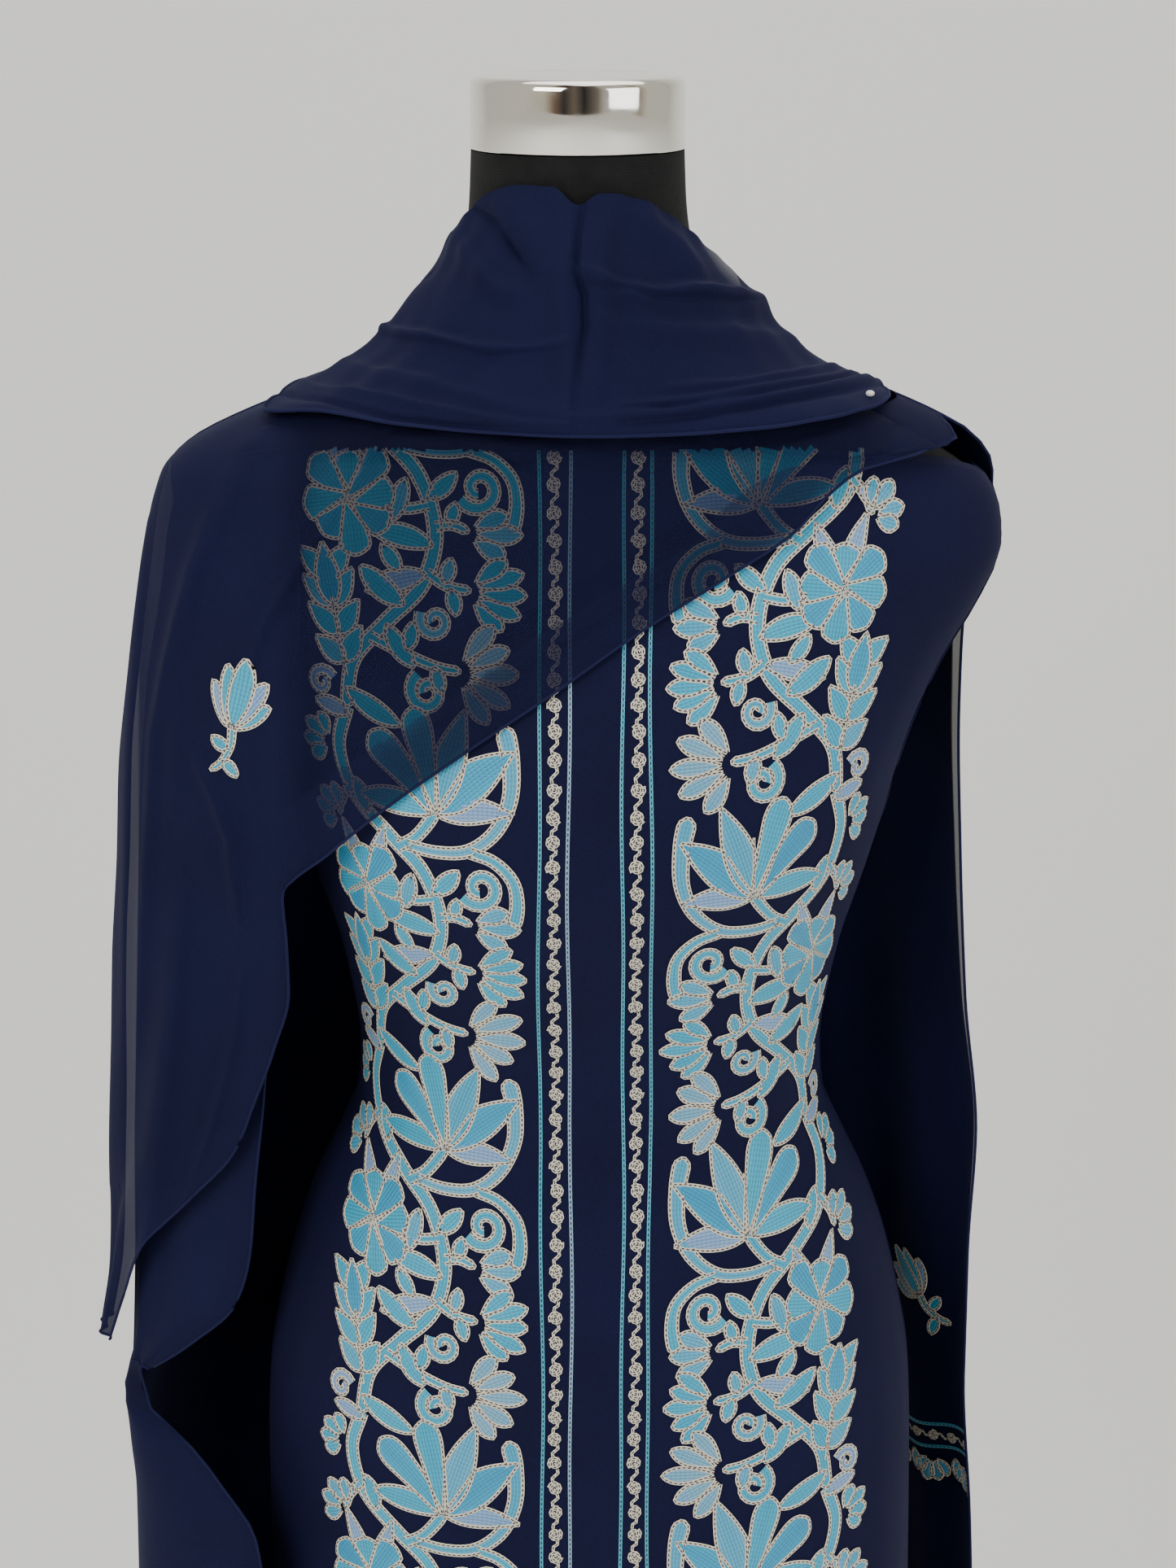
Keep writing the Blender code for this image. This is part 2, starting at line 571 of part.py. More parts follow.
def back_fall(name, table):
    """Fall of the dupatta behind a shoulder, with long soft ripples."""
    def surface(z, angle):
        row = row_at(table, z)
        front = row.back * FALL_FRONT_SHARE
        return ring_point(z, angle, row.half, row.half, front, row.back, DRAPE_POWER)

    outer, inner = [], []
    top, bottom = table[0].z, table[-1].z
    for row in table:
        fall = (top - row.z) / (top - bottom)
        outer_row, inner_row = [], []
        for k in range(FALL_COLUMNS + 1):
            share = k / FALL_COLUMNS
            angle = blend(row.start, row.stop, share)
            wave = math.cos(2 * math.pi * FALL_WAVES * share + fall)
            swell = FALL_RIPPLE * min(2 * fall, 1.0) * (1 - wave)
            point = surface(row.z, angle)
            normal = outward(surface, row.z, angle)
            outer_row.append(point + normal * swell)
            inner_row.append(point + normal * (swell - CLOTH))
        turned = table[0].start > table[0].stop
        outer.append(outer_row[::-1] if turned else outer_row)
        inner.append(inner_row[::-1] if turned else inner_row)
    slab(name, outer, inner, "dupatta_cloth")


def yoke_surface(z, angle):
    return section_point(YOKE, z, angle)


def make_yoke():
    """Belt and seat of the salwar, a tube round the hips."""
    outer, inner = [], []
    for row in YOKE:
        outer_row, inner_row = [], []
        for k in range(BODY_COLUMNS):
            angle = 360 * k / BODY_COLUMNS
            point = yoke_surface(row.z, angle)
            normal = outward(yoke_surface, row.z, angle)
            inner_row.append(point + normal * YOKE_GAP)
            outer_row.append(point + normal * (YOKE_GAP + CLOTH))
        outer.append(outer_row)
        inner.append(inner_row)
    slab("salwar_yoke", outer, inner, "salwar_cloth", closed=True)


def leg_ring(row, side, inset):
    """Section of a leg: half of the yoke at the top, an oval at the cuff, gone round once."""
    reach = abs(row.outer - BODY_X) + YOKE_GAP + CLOTH - inset
    front = row.front + YOKE_GAP + CLOTH - inset
    back = row.back + YOKE_GAP + CLOTH - inset
    inner = row.inner + side * inset
    middle = (row.inner + row.outer) / 2
    half = abs(row.outer - row.inner) / 2 - inset
    power = YOKE[-1].power
    edge = min(max((inner - BODY_X) * side / reach, -1.0), 1.0)
    start = math.degrees(math.asin(math.copysign(abs(edge) ** (power / 2), edge)))

    def oval(degrees):
        turn = math.radians(degrees)
        depth = front if math.cos(turn) > 0 else back
        return Vector((middle + side * half * math.sin(turn), -math.cos(turn) * depth, row.z))

    ring = []
    for k in range(LEG_OUTER_COLUMNS + 1):
        share = k / LEG_OUTER_COLUMNS
        point = ring_point(row.z, blend(start, 180 - start, share), reach, reach, front, back, power)
        half_shape = Vector((BODY_X + side * (point.x - centre_x(row.z)), point.y, row.z))
        degrees = blend(LEG_OVAL_START, 180 - LEG_OVAL_START, share)
        turn = math.radians(degrees)
        way = Vector((side * math.sin(turn), -math.cos(turn), 0))
        depth = LEG_PLEAT_DEPTH * math.sin(math.pi * share) * row.round * (row.z - CUFF_Z[1]) / LEG_LENGTH
        pleat = depth * (1 + math.cos(2 * math.pi * LEG_PLEATS * share))
        ring.append(half_shape.lerp(oval(degrees), row.round) + way * pleat)
    first, last = ring[0], ring[-1]
    for k in range(1, LEG_SEAM_COLUMNS):
        share = k / LEG_SEAM_COLUMNS
        straight = last.lerp(first, share)
        degrees = blend(180 - LEG_OVAL_START, 360 + LEG_OVAL_START, share)
        ring.append(straight.lerp(oval(degrees), row.round))
    return ring if side > 0 else ring[::-1]


def make_leg(name, table, side):
    outer = [leg_ring(row, side, 0.0) for row in table]
    inner = [leg_ring(row, side, CLOTH) for row in table]
    slab("salwar_leg_" + name, outer, inner, "salwar_cloth", closed=True)
    cuff_rows = [table[-1]._replace(z=CUFF_Z[1]), table[-1]._replace(z=blend(*CUFF_Z, 0.5)),
                 table[-1]._replace(z=CUFF_Z[0])]
    outer = [leg_ring(row, side, 0.0) for row in cuff_rows]
    inner = [leg_ring(row, side, CLOTH) for row in cuff_rows]
    slab("salwar_cuff_" + name, outer, inner, "salwar_cloth", closed=True)


def main():
    for old in list(bpy.data.objects):
        bpy.data.objects.remove(old, do_unlink=True)
    make_torso()
    make_stand()
    kameez_panel("kameez_front", 0.0, FRONT_FOLDS)
    kameez_panel("kameez_back", 180.0, BACK_FOLDS)
    make_cowl()
    drape_sheet("dupatta_chest", CHEST, CHEST_BACK_ANGLE, CHEST_RIPPLE)
    drape_sheet("dupatta_middle_fall", MIDDLE_FALL, MIDDLE_BACK_ANGLE, MIDDLE_RIPPLE)
    back_fall("dupatta_rear_fall", REAR_FALL)
    back_fall("dupatta_right_fall", RIGHT_FALL)
    make_yoke()
    make_leg("right", RIGHT_LEG, 1)
    make_leg("left", LEFT_LEG, -1)


main()
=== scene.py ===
"""Looks of a salwar kameez suit and its dupatta on a limbless dress form.

Metres, +Z up. The suit faces -Y and +X is the viewer's right. An angle round the body is 0 at the
front, 90 at +X and 180 at the back.
"""

import math
from collections import namedtuple

import bpy
import numpy as np
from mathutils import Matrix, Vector


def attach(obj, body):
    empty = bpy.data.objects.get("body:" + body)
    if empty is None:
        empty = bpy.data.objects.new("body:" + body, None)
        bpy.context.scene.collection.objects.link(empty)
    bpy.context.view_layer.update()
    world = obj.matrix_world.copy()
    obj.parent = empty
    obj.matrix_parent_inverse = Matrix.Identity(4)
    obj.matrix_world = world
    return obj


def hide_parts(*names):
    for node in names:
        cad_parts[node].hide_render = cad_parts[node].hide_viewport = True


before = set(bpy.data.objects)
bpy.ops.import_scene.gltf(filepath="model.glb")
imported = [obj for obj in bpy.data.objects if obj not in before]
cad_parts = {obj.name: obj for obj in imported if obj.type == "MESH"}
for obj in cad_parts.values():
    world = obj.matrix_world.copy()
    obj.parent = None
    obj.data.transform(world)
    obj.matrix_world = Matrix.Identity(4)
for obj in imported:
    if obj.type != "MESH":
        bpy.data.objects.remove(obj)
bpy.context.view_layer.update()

# Driving sizes, as the solids have them
CLOTH = 0.0014
BODY_X, NECK_X = 0.001, -0.005
CAP_RADIUS, CAP_Z = 0.0525, (1.4640, 1.4990)
NECKLINE_Z, HIP_Z, HEM_Z = 1.312, 0.830, 0.330
CUFF_Z = (0.034, 0.090)
YOKE_GAP = 0.0008
SEAM_ANGLE = 0.12

# Camera: place, pitch and focal length in the photograph's pixels
PHOTO_WIDTH, PHOTO_HEIGHT = 1445, 1927
CAMERA_AT, CAMERA_PITCH, CAMERA_FOCAL = (0.0, -1.623, 1.586), 15.25, 4038.0

# Half width, depth to the front and to the back, and how square the section is
Section = namedtuple("Section", "z half front back power")
BODY = [
    Section(1.4637, 0.0520, 0.0520, 0.0520, 2.00), Section(1.4400, 0.0530, 0.0530, 0.0530, 2.00),
    Section(1.4200, 0.0555, 0.0540, 0.0560, 2.00), Section(1.4000, 0.0620, 0.0560, 0.0600, 2.00),
    Section(1.3850, 0.0710, 0.0580, 0.0640, 2.00), Section(1.3700, 0.0850, 0.0600, 0.0680, 2.05),
    Section(1.3550, 0.1040, 0.0620, 0.0720, 2.10), Section(1.3420, 0.1270, 0.0640, 0.0750, 2.15),
    Section(1.3300, 0.1500, 0.0660, 0.0780, 2.20), Section(1.3180, 0.1730, 0.0690, 0.0810, 2.25),
    Section(1.3060, 0.1900, 0.0720, 0.0840, 2.30), Section(1.2920, 0.2000, 0.0760, 0.0870, 2.30),
    Section(1.2750, 0.2020, 0.0820, 0.0900, 2.30), Section(1.2500, 0.1930, 0.0900, 0.0930, 2.30),
    Section(1.2200, 0.1770, 0.0990, 0.0950, 2.30), Section(1.1900, 0.1640, 0.1080, 0.0950, 2.30),
    Section(1.1600, 0.1530, 0.1150, 0.0930, 2.30), Section(1.1300, 0.1440, 0.1180, 0.0900, 2.30),
    Section(1.1000, 0.1360, 0.1130, 0.0860, 2.25), Section(1.0700, 0.1270, 0.1030, 0.0820, 2.20),
    Section(1.0400, 0.1210, 0.0940, 0.0790, 2.15), Section(1.0100, 0.1170, 0.0880, 0.0780, 2.10),
    Section(0.9850, 0.1180, 0.0880, 0.0820, 2.10), Section(0.9600, 0.1270, 0.0920, 0.0890, 2.15),
    Section(0.9300, 0.1400, 0.0980, 0.0990, 2.20), Section(0.9000, 0.1505, 0.1030, 0.1080, 2.25),
    Section(0.8650, 0.1590, 0.1070, 0.1150, 2.30), Section(0.8300, 0.1650, 0.1090, 0.1180, 2.30),
    Section(0.7900, 0.1660, 0.1080, 0.1150, 2.30), Section(0.7500, 0.1630, 0.1050, 0.1080, 2.25),
    Section(0.7200, 0.1560, 0.0990, 0.0990, 2.20), Section(0.7000, 0.1450, 0.0900, 0.0900, 2.15),
]
SKIRT = [
    Section(0.8300, 0.1650, 0.1090, 0.1180, 2.30), Section(0.7900, 0.1670, 0.1125, 0.1205, 2.30),
    Section(0.7400, 0.1678, 0.1160, 0.1235, 2.30), Section(0.6800, 0.1685, 0.1195, 0.1270, 2.25),
    Section(0.6100, 0.1705, 0.1230, 0.1310, 2.20), Section(0.5400, 0.1735, 0.1270, 0.1350, 2.15),
    Section(0.4700, 0.1765, 0.1315, 0.1395, 2.10), Section(0.4000, 0.1800, 0.1360, 0.1440, 2.05),
    Section(HEM_Z, 0.1835, 0.1405, 0.1485, 2.00),
]
KAMEEZ = [row for row in BODY if row.z > HIP_Z] + SKIRT
YOKE = [
    Section(0.9300, 0.1400, 0.0980, 0.0990, 2.20), Section(0.9000, 0.1505, 0.1030, 0.1080, 2.25),
    Section(0.8650, 0.1590, 0.1070, 0.1150, 2.30), Section(0.8300, 0.1650, 0.1090, 0.1180, 2.30),
    Section(0.7900, 0.1660, 0.1080, 0.1150, 2.30), Section(0.7400, 0.1655, 0.1070, 0.1140, 2.30),
    Section(0.6900, 0.1650, 0.1065, 0.1130, 2.30),
]
COWL = [
    Section(1.4520, 0.0546, 0.0546, 0.0546, 2.00), Section(1.4400, 0.0565, 0.0590, 0.0570, 2.00),
    Section(1.4250, 0.0620, 0.0650, 0.0630, 2.00), Section(1.4100, 0.0700, 0.0705, 0.0680, 2.00),
    Section(1.3950, 0.0810, 0.0755, 0.0720, 2.00), Section(1.3800, 0.0915, 0.0800, 0.0760, 2.05),
    Section(1.3670, 0.1055, 0.0840, 0.0800, 2.10), Section(1.3550, 0.1255, 0.0875, 0.0840, 2.15),
    Section(1.3450, 0.1490, 0.0900, 0.0870, 2.20), Section(1.3350, 0.1750, 0.0920, 0.0900, 2.25),
    Section(1.3250, 0.1920, 0.0940, 0.0920, 2.30),
]

# How far the kameez stands off the body, and the angle of a panel's side edge from its middle
Pair = namedtuple("Pair", "z value")
KAMEEZ_GAP = [Pair(1.306, 0.0016), Pair(1.285, 0.0020), Pair(1.262, 0.0031), Pair(1.250, 0.0031),
              Pair(1.130, 0.0020), Pair(1.090, 0.0010), Pair(0.985, 0.0012), Pair(0.960, 0.0022),
              Pair(0.930, 0.0032), Pair(HEM_Z, 0.0032)]
SIDE_EDGE = [Pair(1.306, 90.0), Pair(1.275, 90.0), Pair(1.250, 80.0), Pair(1.220, 74.0), Pair(1.190, 72.0),
             Pair(1.160, 75.0), Pair(1.130, 84.0), Pair(1.100, 90.0), Pair(0.830, 90.0), Pair(0.790, 88.5),
             Pair(HEM_Z, 84.0)]

# The kameez's top edge by the angle from a panel's middle, followed from TOP_FOLLOWED_FROM up
TopPoint = namedtuple("TopPoint", "angle z")
KAMEEZ_TOP = [TopPoint(0, 1.3266), TopPoint(30, 1.3244), TopPoint(45, 1.3220), TopPoint(60, 1.3180),
              TopPoint(72, 1.3145), TopPoint(80, 1.3100), TopPoint(90, 1.3054)]
TOP_FOLLOWED_FROM = 1.2750

# Soft folds of the hanging skirt: where, how wide, how deep at the hem
Fold = namedtuple("Fold", "angle width depth")
FRONT_FOLDS = [Fold(-66, 11, 0.0090), Fold(-38, 9, 0.0050), Fold(-8, 10, 0.0030), Fold(27, 9, 0.0045),
               Fold(60, 12, 0.0085)]
BACK_FOLDS = [Fold(118, 11, 0.0080), Fold(150, 10, 0.0060), Fold(182, 11, 0.0075), Fold(214, 9, 0.0050),
              Fold(243, 12, 0.0080)]

# Top edge and lower fold of the cowl round the neck
CowlColumn = namedtuple("CowlColumn", "angle top fold")
COWL_EDGES = [
    CowlColumn(-128, 1.3660, 1.3480), CowlColumn(-117, 1.3790, 1.3480), CowlColumn(-105, 1.3960, 1.3480),
    CowlColumn(-90, 1.4130, 1.3450), CowlColumn(-70, 1.4330, 1.3390), CowlColumn(-50, 1.4450, 1.3420),
    CowlColumn(-28, 1.4505, 1.3400), CowlColumn(-12, 1.4500, 1.3385), CowlColumn(0, 1.4420, 1.3375),
    CowlColumn(12, 1.4470, 1.3380), CowlColumn(32, 1.4440, 1.3395), CowlColumn(52, 1.4340, 1.3420),
    CowlColumn(70, 1.4220, 1.3440), CowlColumn(90, 1.4060, 1.3470), CowlColumn(105, 1.3920, 1.3480),
    CowlColumn(117, 1.3780, 1.3480), CowlColumn(128, 1.3660, 1.3480),
]

# A hanging sheet: its front edge as a place across the body, and how far its section reaches
Drape = namedtuple("Drape", "z edge_x left right front")
CHEST = [
    Drape(1.3440, 0.1520, 0.1480, 0.1520, 0.0790), Drape(1.3350, 0.1720, 0.1700, 0.1720, 0.0805),
    Drape(1.3260, 0.1790, 0.1895, 0.1880, 0.0820), Drape(1.3190, 0.1340, 0.2010, 0.1970, 0.0830),
    Drape(1.3060, 0.1130, 0.2120, 0.2010, 0.0850), Drape(1.2900, 0.0980, 0.2185, 0.2050, 0.0875),
    Drape(1.2700, 0.0660, 0.2220, 0.2050, 0.0915), Drape(1.2450, 0.0240, 0.2255, 0.1950, 0.0984),
    Drape(1.2150, -0.0200, 0.2300, 0.1950, 0.1064), Drape(1.1850, -0.0650, 0.2345, 0.1950, 0.1124),
    Drape(1.1600, -0.0980, 0.2375, 0.1950, 0.1110), Drape(1.1350, -0.1260, 0.2390, 0.1950, 0.1070),
    Drape(1.1100, -0.1500, 0.2405, 0.1950, 0.1030), Drape(1.0850, -0.1485, 0.2425, 0.1950, 0.1000),
    Drape(1.0600, -0.1480, 0.2443, 0.1950, 0.0980), Drape(1.0300, -0.1560, 0.2455, 0.1950, 0.0960),
    Drape(1.0000, -0.1670, 0.2465, 0.1950, 0.0940), Drape(0.9700, -0.1790, 0.2475, 0.1950, 0.0920),
    Drape(0.9400, -0.2030, 0.2487, 0.1950, 0.0900), Drape(0.9100, -0.2270, 0.2500, 0.1950, 0.0885),
    Drape(0.8800, -0.2400, 0.2520, 0.1950, 0.0870), Drape(0.8450, -0.2520, 0.2577, 0.1950, 0.0860),
]
CHEST_BACK_ANGLE = -97.0
STRIP_INNER_PIXEL = 172
SHEER_COVER, DOUBLED_COVER, DOUBLED_WIDTH = 0.62, 0.79, 0.046
MIDDLE_FALL = [
    Drape(1.3020, -0.1450, 0.2035, 0.1950, 0.0785), Drape(1.2850, -0.1400, 0.2095, 0.1950, 0.0862),
    Drape(1.2500, -0.1400, 0.2150, 0.1950, 0.0950), Drape(1.2000, -0.1500, 0.2240, 0.1950, 0.0990),
    Drape(1.1500, -0.1600, 0.2290, 0.1950, 0.0970), Drape(1.1000, -0.1600, 0.2320, 0.1950, 0.0940),
    Drape(1.0500, -0.1600, 0.2345, 0.1950, 0.0890), Drape(1.0000, -0.1640, 0.2370, 0.1950, 0.0860),
    Drape(0.9500, -0.1700, 0.2390, 0.1950, 0.0830), Drape(0.9100, -0.1740, 0.2405, 0.1950, 0.0810),
    Drape(0.8800, -0.1830, 0.2415, 0.1950, 0.0800), Drape(0.8550, -0.2060, 0.2425, 0.1950, 0.0790),
    Drape(0.8300, -0.2330, 0.2440, 0.1950, 0.0780),
]
MIDDLE_BACK_ANGLE = -85.0
DRAPE_POWER = 2.2

# The falls behind the shoulders: the angles of their two edges, and how far their section reaches
Fall = namedtuple("Fall", "z start stop half back")
REAR_FALL = [
    Fall(1.3440, -96.4, -136, 0.1480, 0.0890), Fall(1.3350, -96.4, -139, 0.1700, 0.0930),
    Fall(1.3260, -96.4, -141, 0.1895, 0.0955), Fall(1.3060, -96.4, -143, 0.2119, 0.0985),
    Fall(1.2850, -93, -145, 0.2085, 0.1010), Fall(1.2500, -91, -147, 0.2105, 0.1035),
    Fall(1.2000, -90, -149, 0.2140, 0.1065), Fall(1.1400, -90, -153, 0.2180, 0.1090),
    Fall(1.0700, -90, -154, 0.2230, 0.1120), Fall(1.0000, -90, -153, 0.2275, 0.1150),
    Fall(0.9200, -90, -149, 0.2320, 0.1210), Fall(0.8500, -90, -146, 0.2370, 0.1280),
    Fall(0.8200, -84, -145, 0.2400, 0.1305), Fall(0.8060, -58, -145, 0.2412, 0.1318),
    Fall(0.7900, -50, -145, 0.2425, 0.1330), Fall(0.7650, -43, -145, 0.2435, 0.1345),
    Fall(0.7200, -41, -144, 0.2450, 0.1370), Fall(0.6300, -47, -143, 0.2460, 0.1430),
    Fall(0.5400, -53, -142, 0.2465, 0.1490), Fall(0.4500, -58, -141, 0.2470, 0.1560),
]
RIGHT_FALL = [
    Fall(1.3440, 90.2, 136, 0.1520, 0.0890), Fall(1.3350, 90.2, 139, 0.1720, 0.0930),
    Fall(1.3260, 90.2, 141, 0.1880, 0.0955), Fall(1.3060, 97, 143, 0.2035, 0.0985),
    Fall(1.2800, 105, 145, 0.2090, 0.1015), Fall(1.2400, 107, 147, 0.2020, 0.1045),
    Fall(1.1800, 103, 148, 0.1955, 0.1075), Fall(1.1000, 103, 148, 0.1985, 0.1110),
    Fall(1.0200, 103, 147, 0.2035, 0.1150), Fall(0.9400, 102, 146, 0.2110, 0.1200),
    Fall(0.8700, 102, 145, 0.2085, 0.1270), Fall(0.8000, 102, 144, 0.2085, 0.1320),
    Fall(0.7200, 102, 143, 0.2140, 0.1370), Fall(0.6300, 103, 142, 0.2190, 0.1430),
    Fall(0.5400, 104, 141, 0.2230, 0.1490), Fall(0.4500, 105, 140, 0.2270, 0.1560),
]
FALL_RIPPLE = 0.0045

Leg = namedtuple("Leg", "z inner outer front back round")
RIGHT_LEG = [
    Leg(0.6897, -0.0297, 0.1650, 0.1065, 0.1130, 0.00), Leg(0.6300, -0.0290, 0.1620, 0.1060, 0.1100, 0.35),
    Leg(0.5500, -0.0270, 0.1530, 0.1010, 0.1030, 0.70), Leg(0.4600, -0.0245, 0.1450, 0.0960, 0.0970, 1.00),
    Leg(0.3700, -0.0225, 0.1370, 0.0890, 0.0900, 1.00), Leg(0.2800, -0.0210, 0.1260, 0.0800, 0.0810, 1.00),
    Leg(0.1900, -0.0200, 0.1110, 0.0690, 0.0700, 1.00), Leg(0.1300, -0.0190, 0.0980, 0.0590, 0.0600, 1.00),
    Leg(0.0903, -0.0180, 0.0880, 0.0530, 0.0530, 1.00),
]
LEFT_LEG = [
    Leg(0.6897, -0.0303, -0.1630, 0.1065, 0.1130, 0.00), Leg(0.6300, -0.0320, -0.1620, 0.1060, 0.1100, 0.35),
    Leg(0.5500, -0.0350, -0.1590, 0.1010, 0.1030, 0.70), Leg(0.4600, -0.0375, -0.1590, 0.0960, 0.0970, 1.00),
    Leg(0.3700, -0.0395, -0.1610, 0.0890, 0.0900, 1.00), Leg(0.2800, -0.0410, -0.1620, 0.0800, 0.0810, 1.00),
    Leg(0.1900, -0.0425, -0.1590, 0.0690, 0.0700, 1.00), Leg(0.1300, -0.0440, -0.1550, 0.0590, 0.0600, 1.00),
    Leg(0.0903, -0.0450, -0.1510, 0.0530, 0.0530, 1.00),
]
LEG_PLEATS, LEG_PLEAT_DEPTH = 8, 0.0035


# Shapes of the body, the cloth and their creases
def columns(table):
    """The table's columns as arrays, in order of the first one."""
    return np.array(sorted(tuple(row) for row in table), float).T


def curve(x, y, at):
    """Smooth curve through points, which never overshoots them."""
    step = np.diff(x)
    slope = np.diff(y) / step
    rate = np.zeros_like(y)
    rate[0], rate[-1] = slope[0], slope[-1]
    low, high = slope[:-1], slope[1:]
    same = low * high > 0
    safe_low, safe_high = np.where(same, low, 1.0), np.where(same, high, 1.0)
    before, after = 2 * step[1:] + step[:-1], step[1:] + 2 * step[:-1]
    rate[1:-1] = np.where(same, (before + after) / (before / safe_low + after / safe_high), 0.0)
    k = np.clip(np.searchsorted(x, at) - 1, 0, len(step) - 1)
    h = step[k]
    t = (np.clip(at, x[0], x[-1]) - x[k]) / h
    return ((1 + 2 * t) * (1 - t) ** 2 * y[k] + t * (1 - t) ** 2 * h * rate[k]
            + t * t * (3 - 2 * t) * y[k + 1] + t * t * (t - 1) * h * rate[k + 1])


def read(table, at):
    """The other columns' values at values of the first, as a list of arrays."""
    x, *rest = columns(table)
    return [curve(x, y, at) for y in rest]


def centre_x(z):
    return BODY_X + (NECK_X - BODY_X) * np.clip((z - 1.34) / 0.08, 0.0, 1.0)


def ring(z, angle, left, right, front, back, power):
    """Points of a rounded section, with its own reach to each side."""
    turn = np.radians(angle)
    across, along = np.sin(turn), -np.cos(turn)
    half = np.where(across > 0, right, left)
    depth = np.where(along > 0, back, front)
    x = half * np.sign(across) * np.abs(across) ** (2 / power)
    y = depth * np.sign(along) * np.abs(along) ** (2 / power)
    return np.stack([centre_x(z) + x, y, z + 0 * x], -1)


def section_surface(table):
    def surface(z, angle):
        half, front, back, power = read(table, z)
        return ring(z, angle, half, half, front, back, power)
    return surface


def drape_surface(table):
    def surface(z, angle):
        _, left, right, front = read(table, z)
        return ring(z, angle, left, right, front, front, DRAPE_POWER)
    return surface


def fall_surface(table):
    def surface(z, angle):
        _, _, half, back = read(table, z)
        return ring(z, angle, half, half, back * 0.9, back, DRAPE_POWER)
    return surface


def outward(surface, z, angle):
    """Unit normals of a surface given by height and angle."""
    step_z, step_angle = 0.004, 2.0
    along = surface(z, angle + step_angle) - surface(z, angle - step_angle)
    up = surface(z + step_z, angle) - surface(z - step_z, angle)
    normal = np.cross(along, up)
    return normal / np.linalg.norm(normal, axis=-1, keepdims=True)


def in_photo(points):
    """Pixels of the photograph at which points lie."""
    pitch = math.radians(CAMERA_PITCH)
    ahead = np.array([0.0, math.cos(pitch), -math.sin(pitch)])
    up = np.array([0.0, math.sin(pitch), math.cos(pitch)])
    way = points - np.array(CAMERA_AT)
    depth = way @ ahead
    return np.stack([PHOTO_WIDTH / 2 + CAMERA_FOCAL * way[..., 0] / depth,
                     PHOTO_HEIGHT / 2 - CAMERA_FOCAL * (way @ up) / depth], -1)


def crease(place, path, wide, depth, lean=1.0):
    """Swell of one crease at places: depth on the path, narrower on its left by lean, gone at its ends."""
    path = np.array(path, float)
    best = np.full(place.shape[:-1], 1e9)
    side = np.zeros(place.shape[:-1])
    share = np.zeros(place.shape[:-1])
    lengths = np.linalg.norm(np.diff(path, axis=0), axis=1)
    total, run = lengths.sum(), 0.0
    for start, end, length in zip(path, path[1:], lengths):
        way = (end - start) / length
        off = place - start
        t = np.clip(off @ way, 0, length)
        gap = off - t[..., None] * way
        far = np.linalg.norm(gap, axis=-1)
        near = far < best
        best = np.where(near, far, best)
        side = np.where(near, way[0] * off[..., 1] - way[1] * off[..., 0], side)
        share = np.where(near, (run + t) / total, share)
        run += length
    width = np.where(side > 0, wide, wide * lean)
    ends = np.sin(np.pi * np.clip(share * 0.9 + 0.05, 0, 1)) ** 0.6
    return depth * ends * np.exp(-((best / width) ** 2))


def uneven(u, v, size, seed):
    """Gentle unevenness from a few crossing waves, from -1 to 1."""
    total = 0.0
    for k in range(5):
        turn = seed * 1.7 + k * 2.4
        pitch = size * (0.7 + 0.35 * ((k * 7 + seed * 3) % 5))
        total = total + np.sin((u * math.cos(turn) + v * math.sin(turn)) * 2 * math.pi / pitch + turn * 3)
    return total / 5


def grid_object(name, points, material, closed=False, thick=0.0, cover=None):
    """A sheet from a grid of points, top row first, with its threads' lengths as UVs in metres."""
    rows, cols = points.shape[:2]
    across = np.linalg.norm(np.diff(points, axis=1), axis=2).mean(axis=0)
    down = np.linalg.norm(np.diff(points, axis=0), axis=2).mean(axis=1)
    u = np.concatenate([[0], np.cumsum(across)])
    v = np.concatenate([[0], np.cumsum(down)])
    count = cols - 1 if closed else cols
    index = np.arange(rows)[:, None] * count + (np.arange(cols) % count)[None, :]

    def corners(grid):
        return np.stack([grid[:-1, :-1], grid[1:, :-1], grid[1:, 1:], grid[:-1, 1:]], -1).reshape(-1, 4)

    uv = np.stack(np.broadcast_arrays(u[None, :], -v[:, None]), -1)
    mesh = bpy.data.meshes.new(name)
    mesh.from_pydata(points[:, :count].reshape(-1, 3).tolist(), [], corners(index).tolist())
    layer = mesh.uv_layers.new(name="threads")
    flat = corners(np.arange(rows * cols).reshape(rows, cols)).reshape(-1)
    layer.data.foreach_set("uv", uv.reshape(-1, 2)[flat].reshape(-1).astype(np.float32))
    if cover is not None:
        dense = mesh.attributes.new("cover", "FLOAT", "POINT")
        dense.data.foreach_set("value", cover.reshape(-1).astype(np.float32))
    mesh.shade_smooth()
    mesh.materials.append(material)
    made = bpy.data.objects.new(name, mesh)
    bpy.context.scene.collection.objects.link(made)
    if thick:
        wall = made.modifiers.new("wall", "SOLIDIFY")
        wall.thickness = thick
        wall.offset = -1
    return made


def area_of(points):
    first, right, below, last = points[:-1, :-1], points[:-1, 1:], points[1:, :-1], points[1:, 1:]
    one = np.linalg.norm(np.cross(below - first, right - first), axis=-1)
    two = np.linalg.norm(np.cross(below - last, right - last), axis=-1)
    return float((one + two).sum() / 2)


def finish_sheet(piece, points, held, rests_on, slot, *nodes, flat=None, with_pieces=()):
    """Put one cloth piece in its node's place."""
    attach(piece, "root")
    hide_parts(*nodes)
    if flat is None:
        down = float(np.linalg.norm(np.diff(points, axis=0), axis=2).sum(axis=0).max())
        flat = (area_of(points) / down, down)


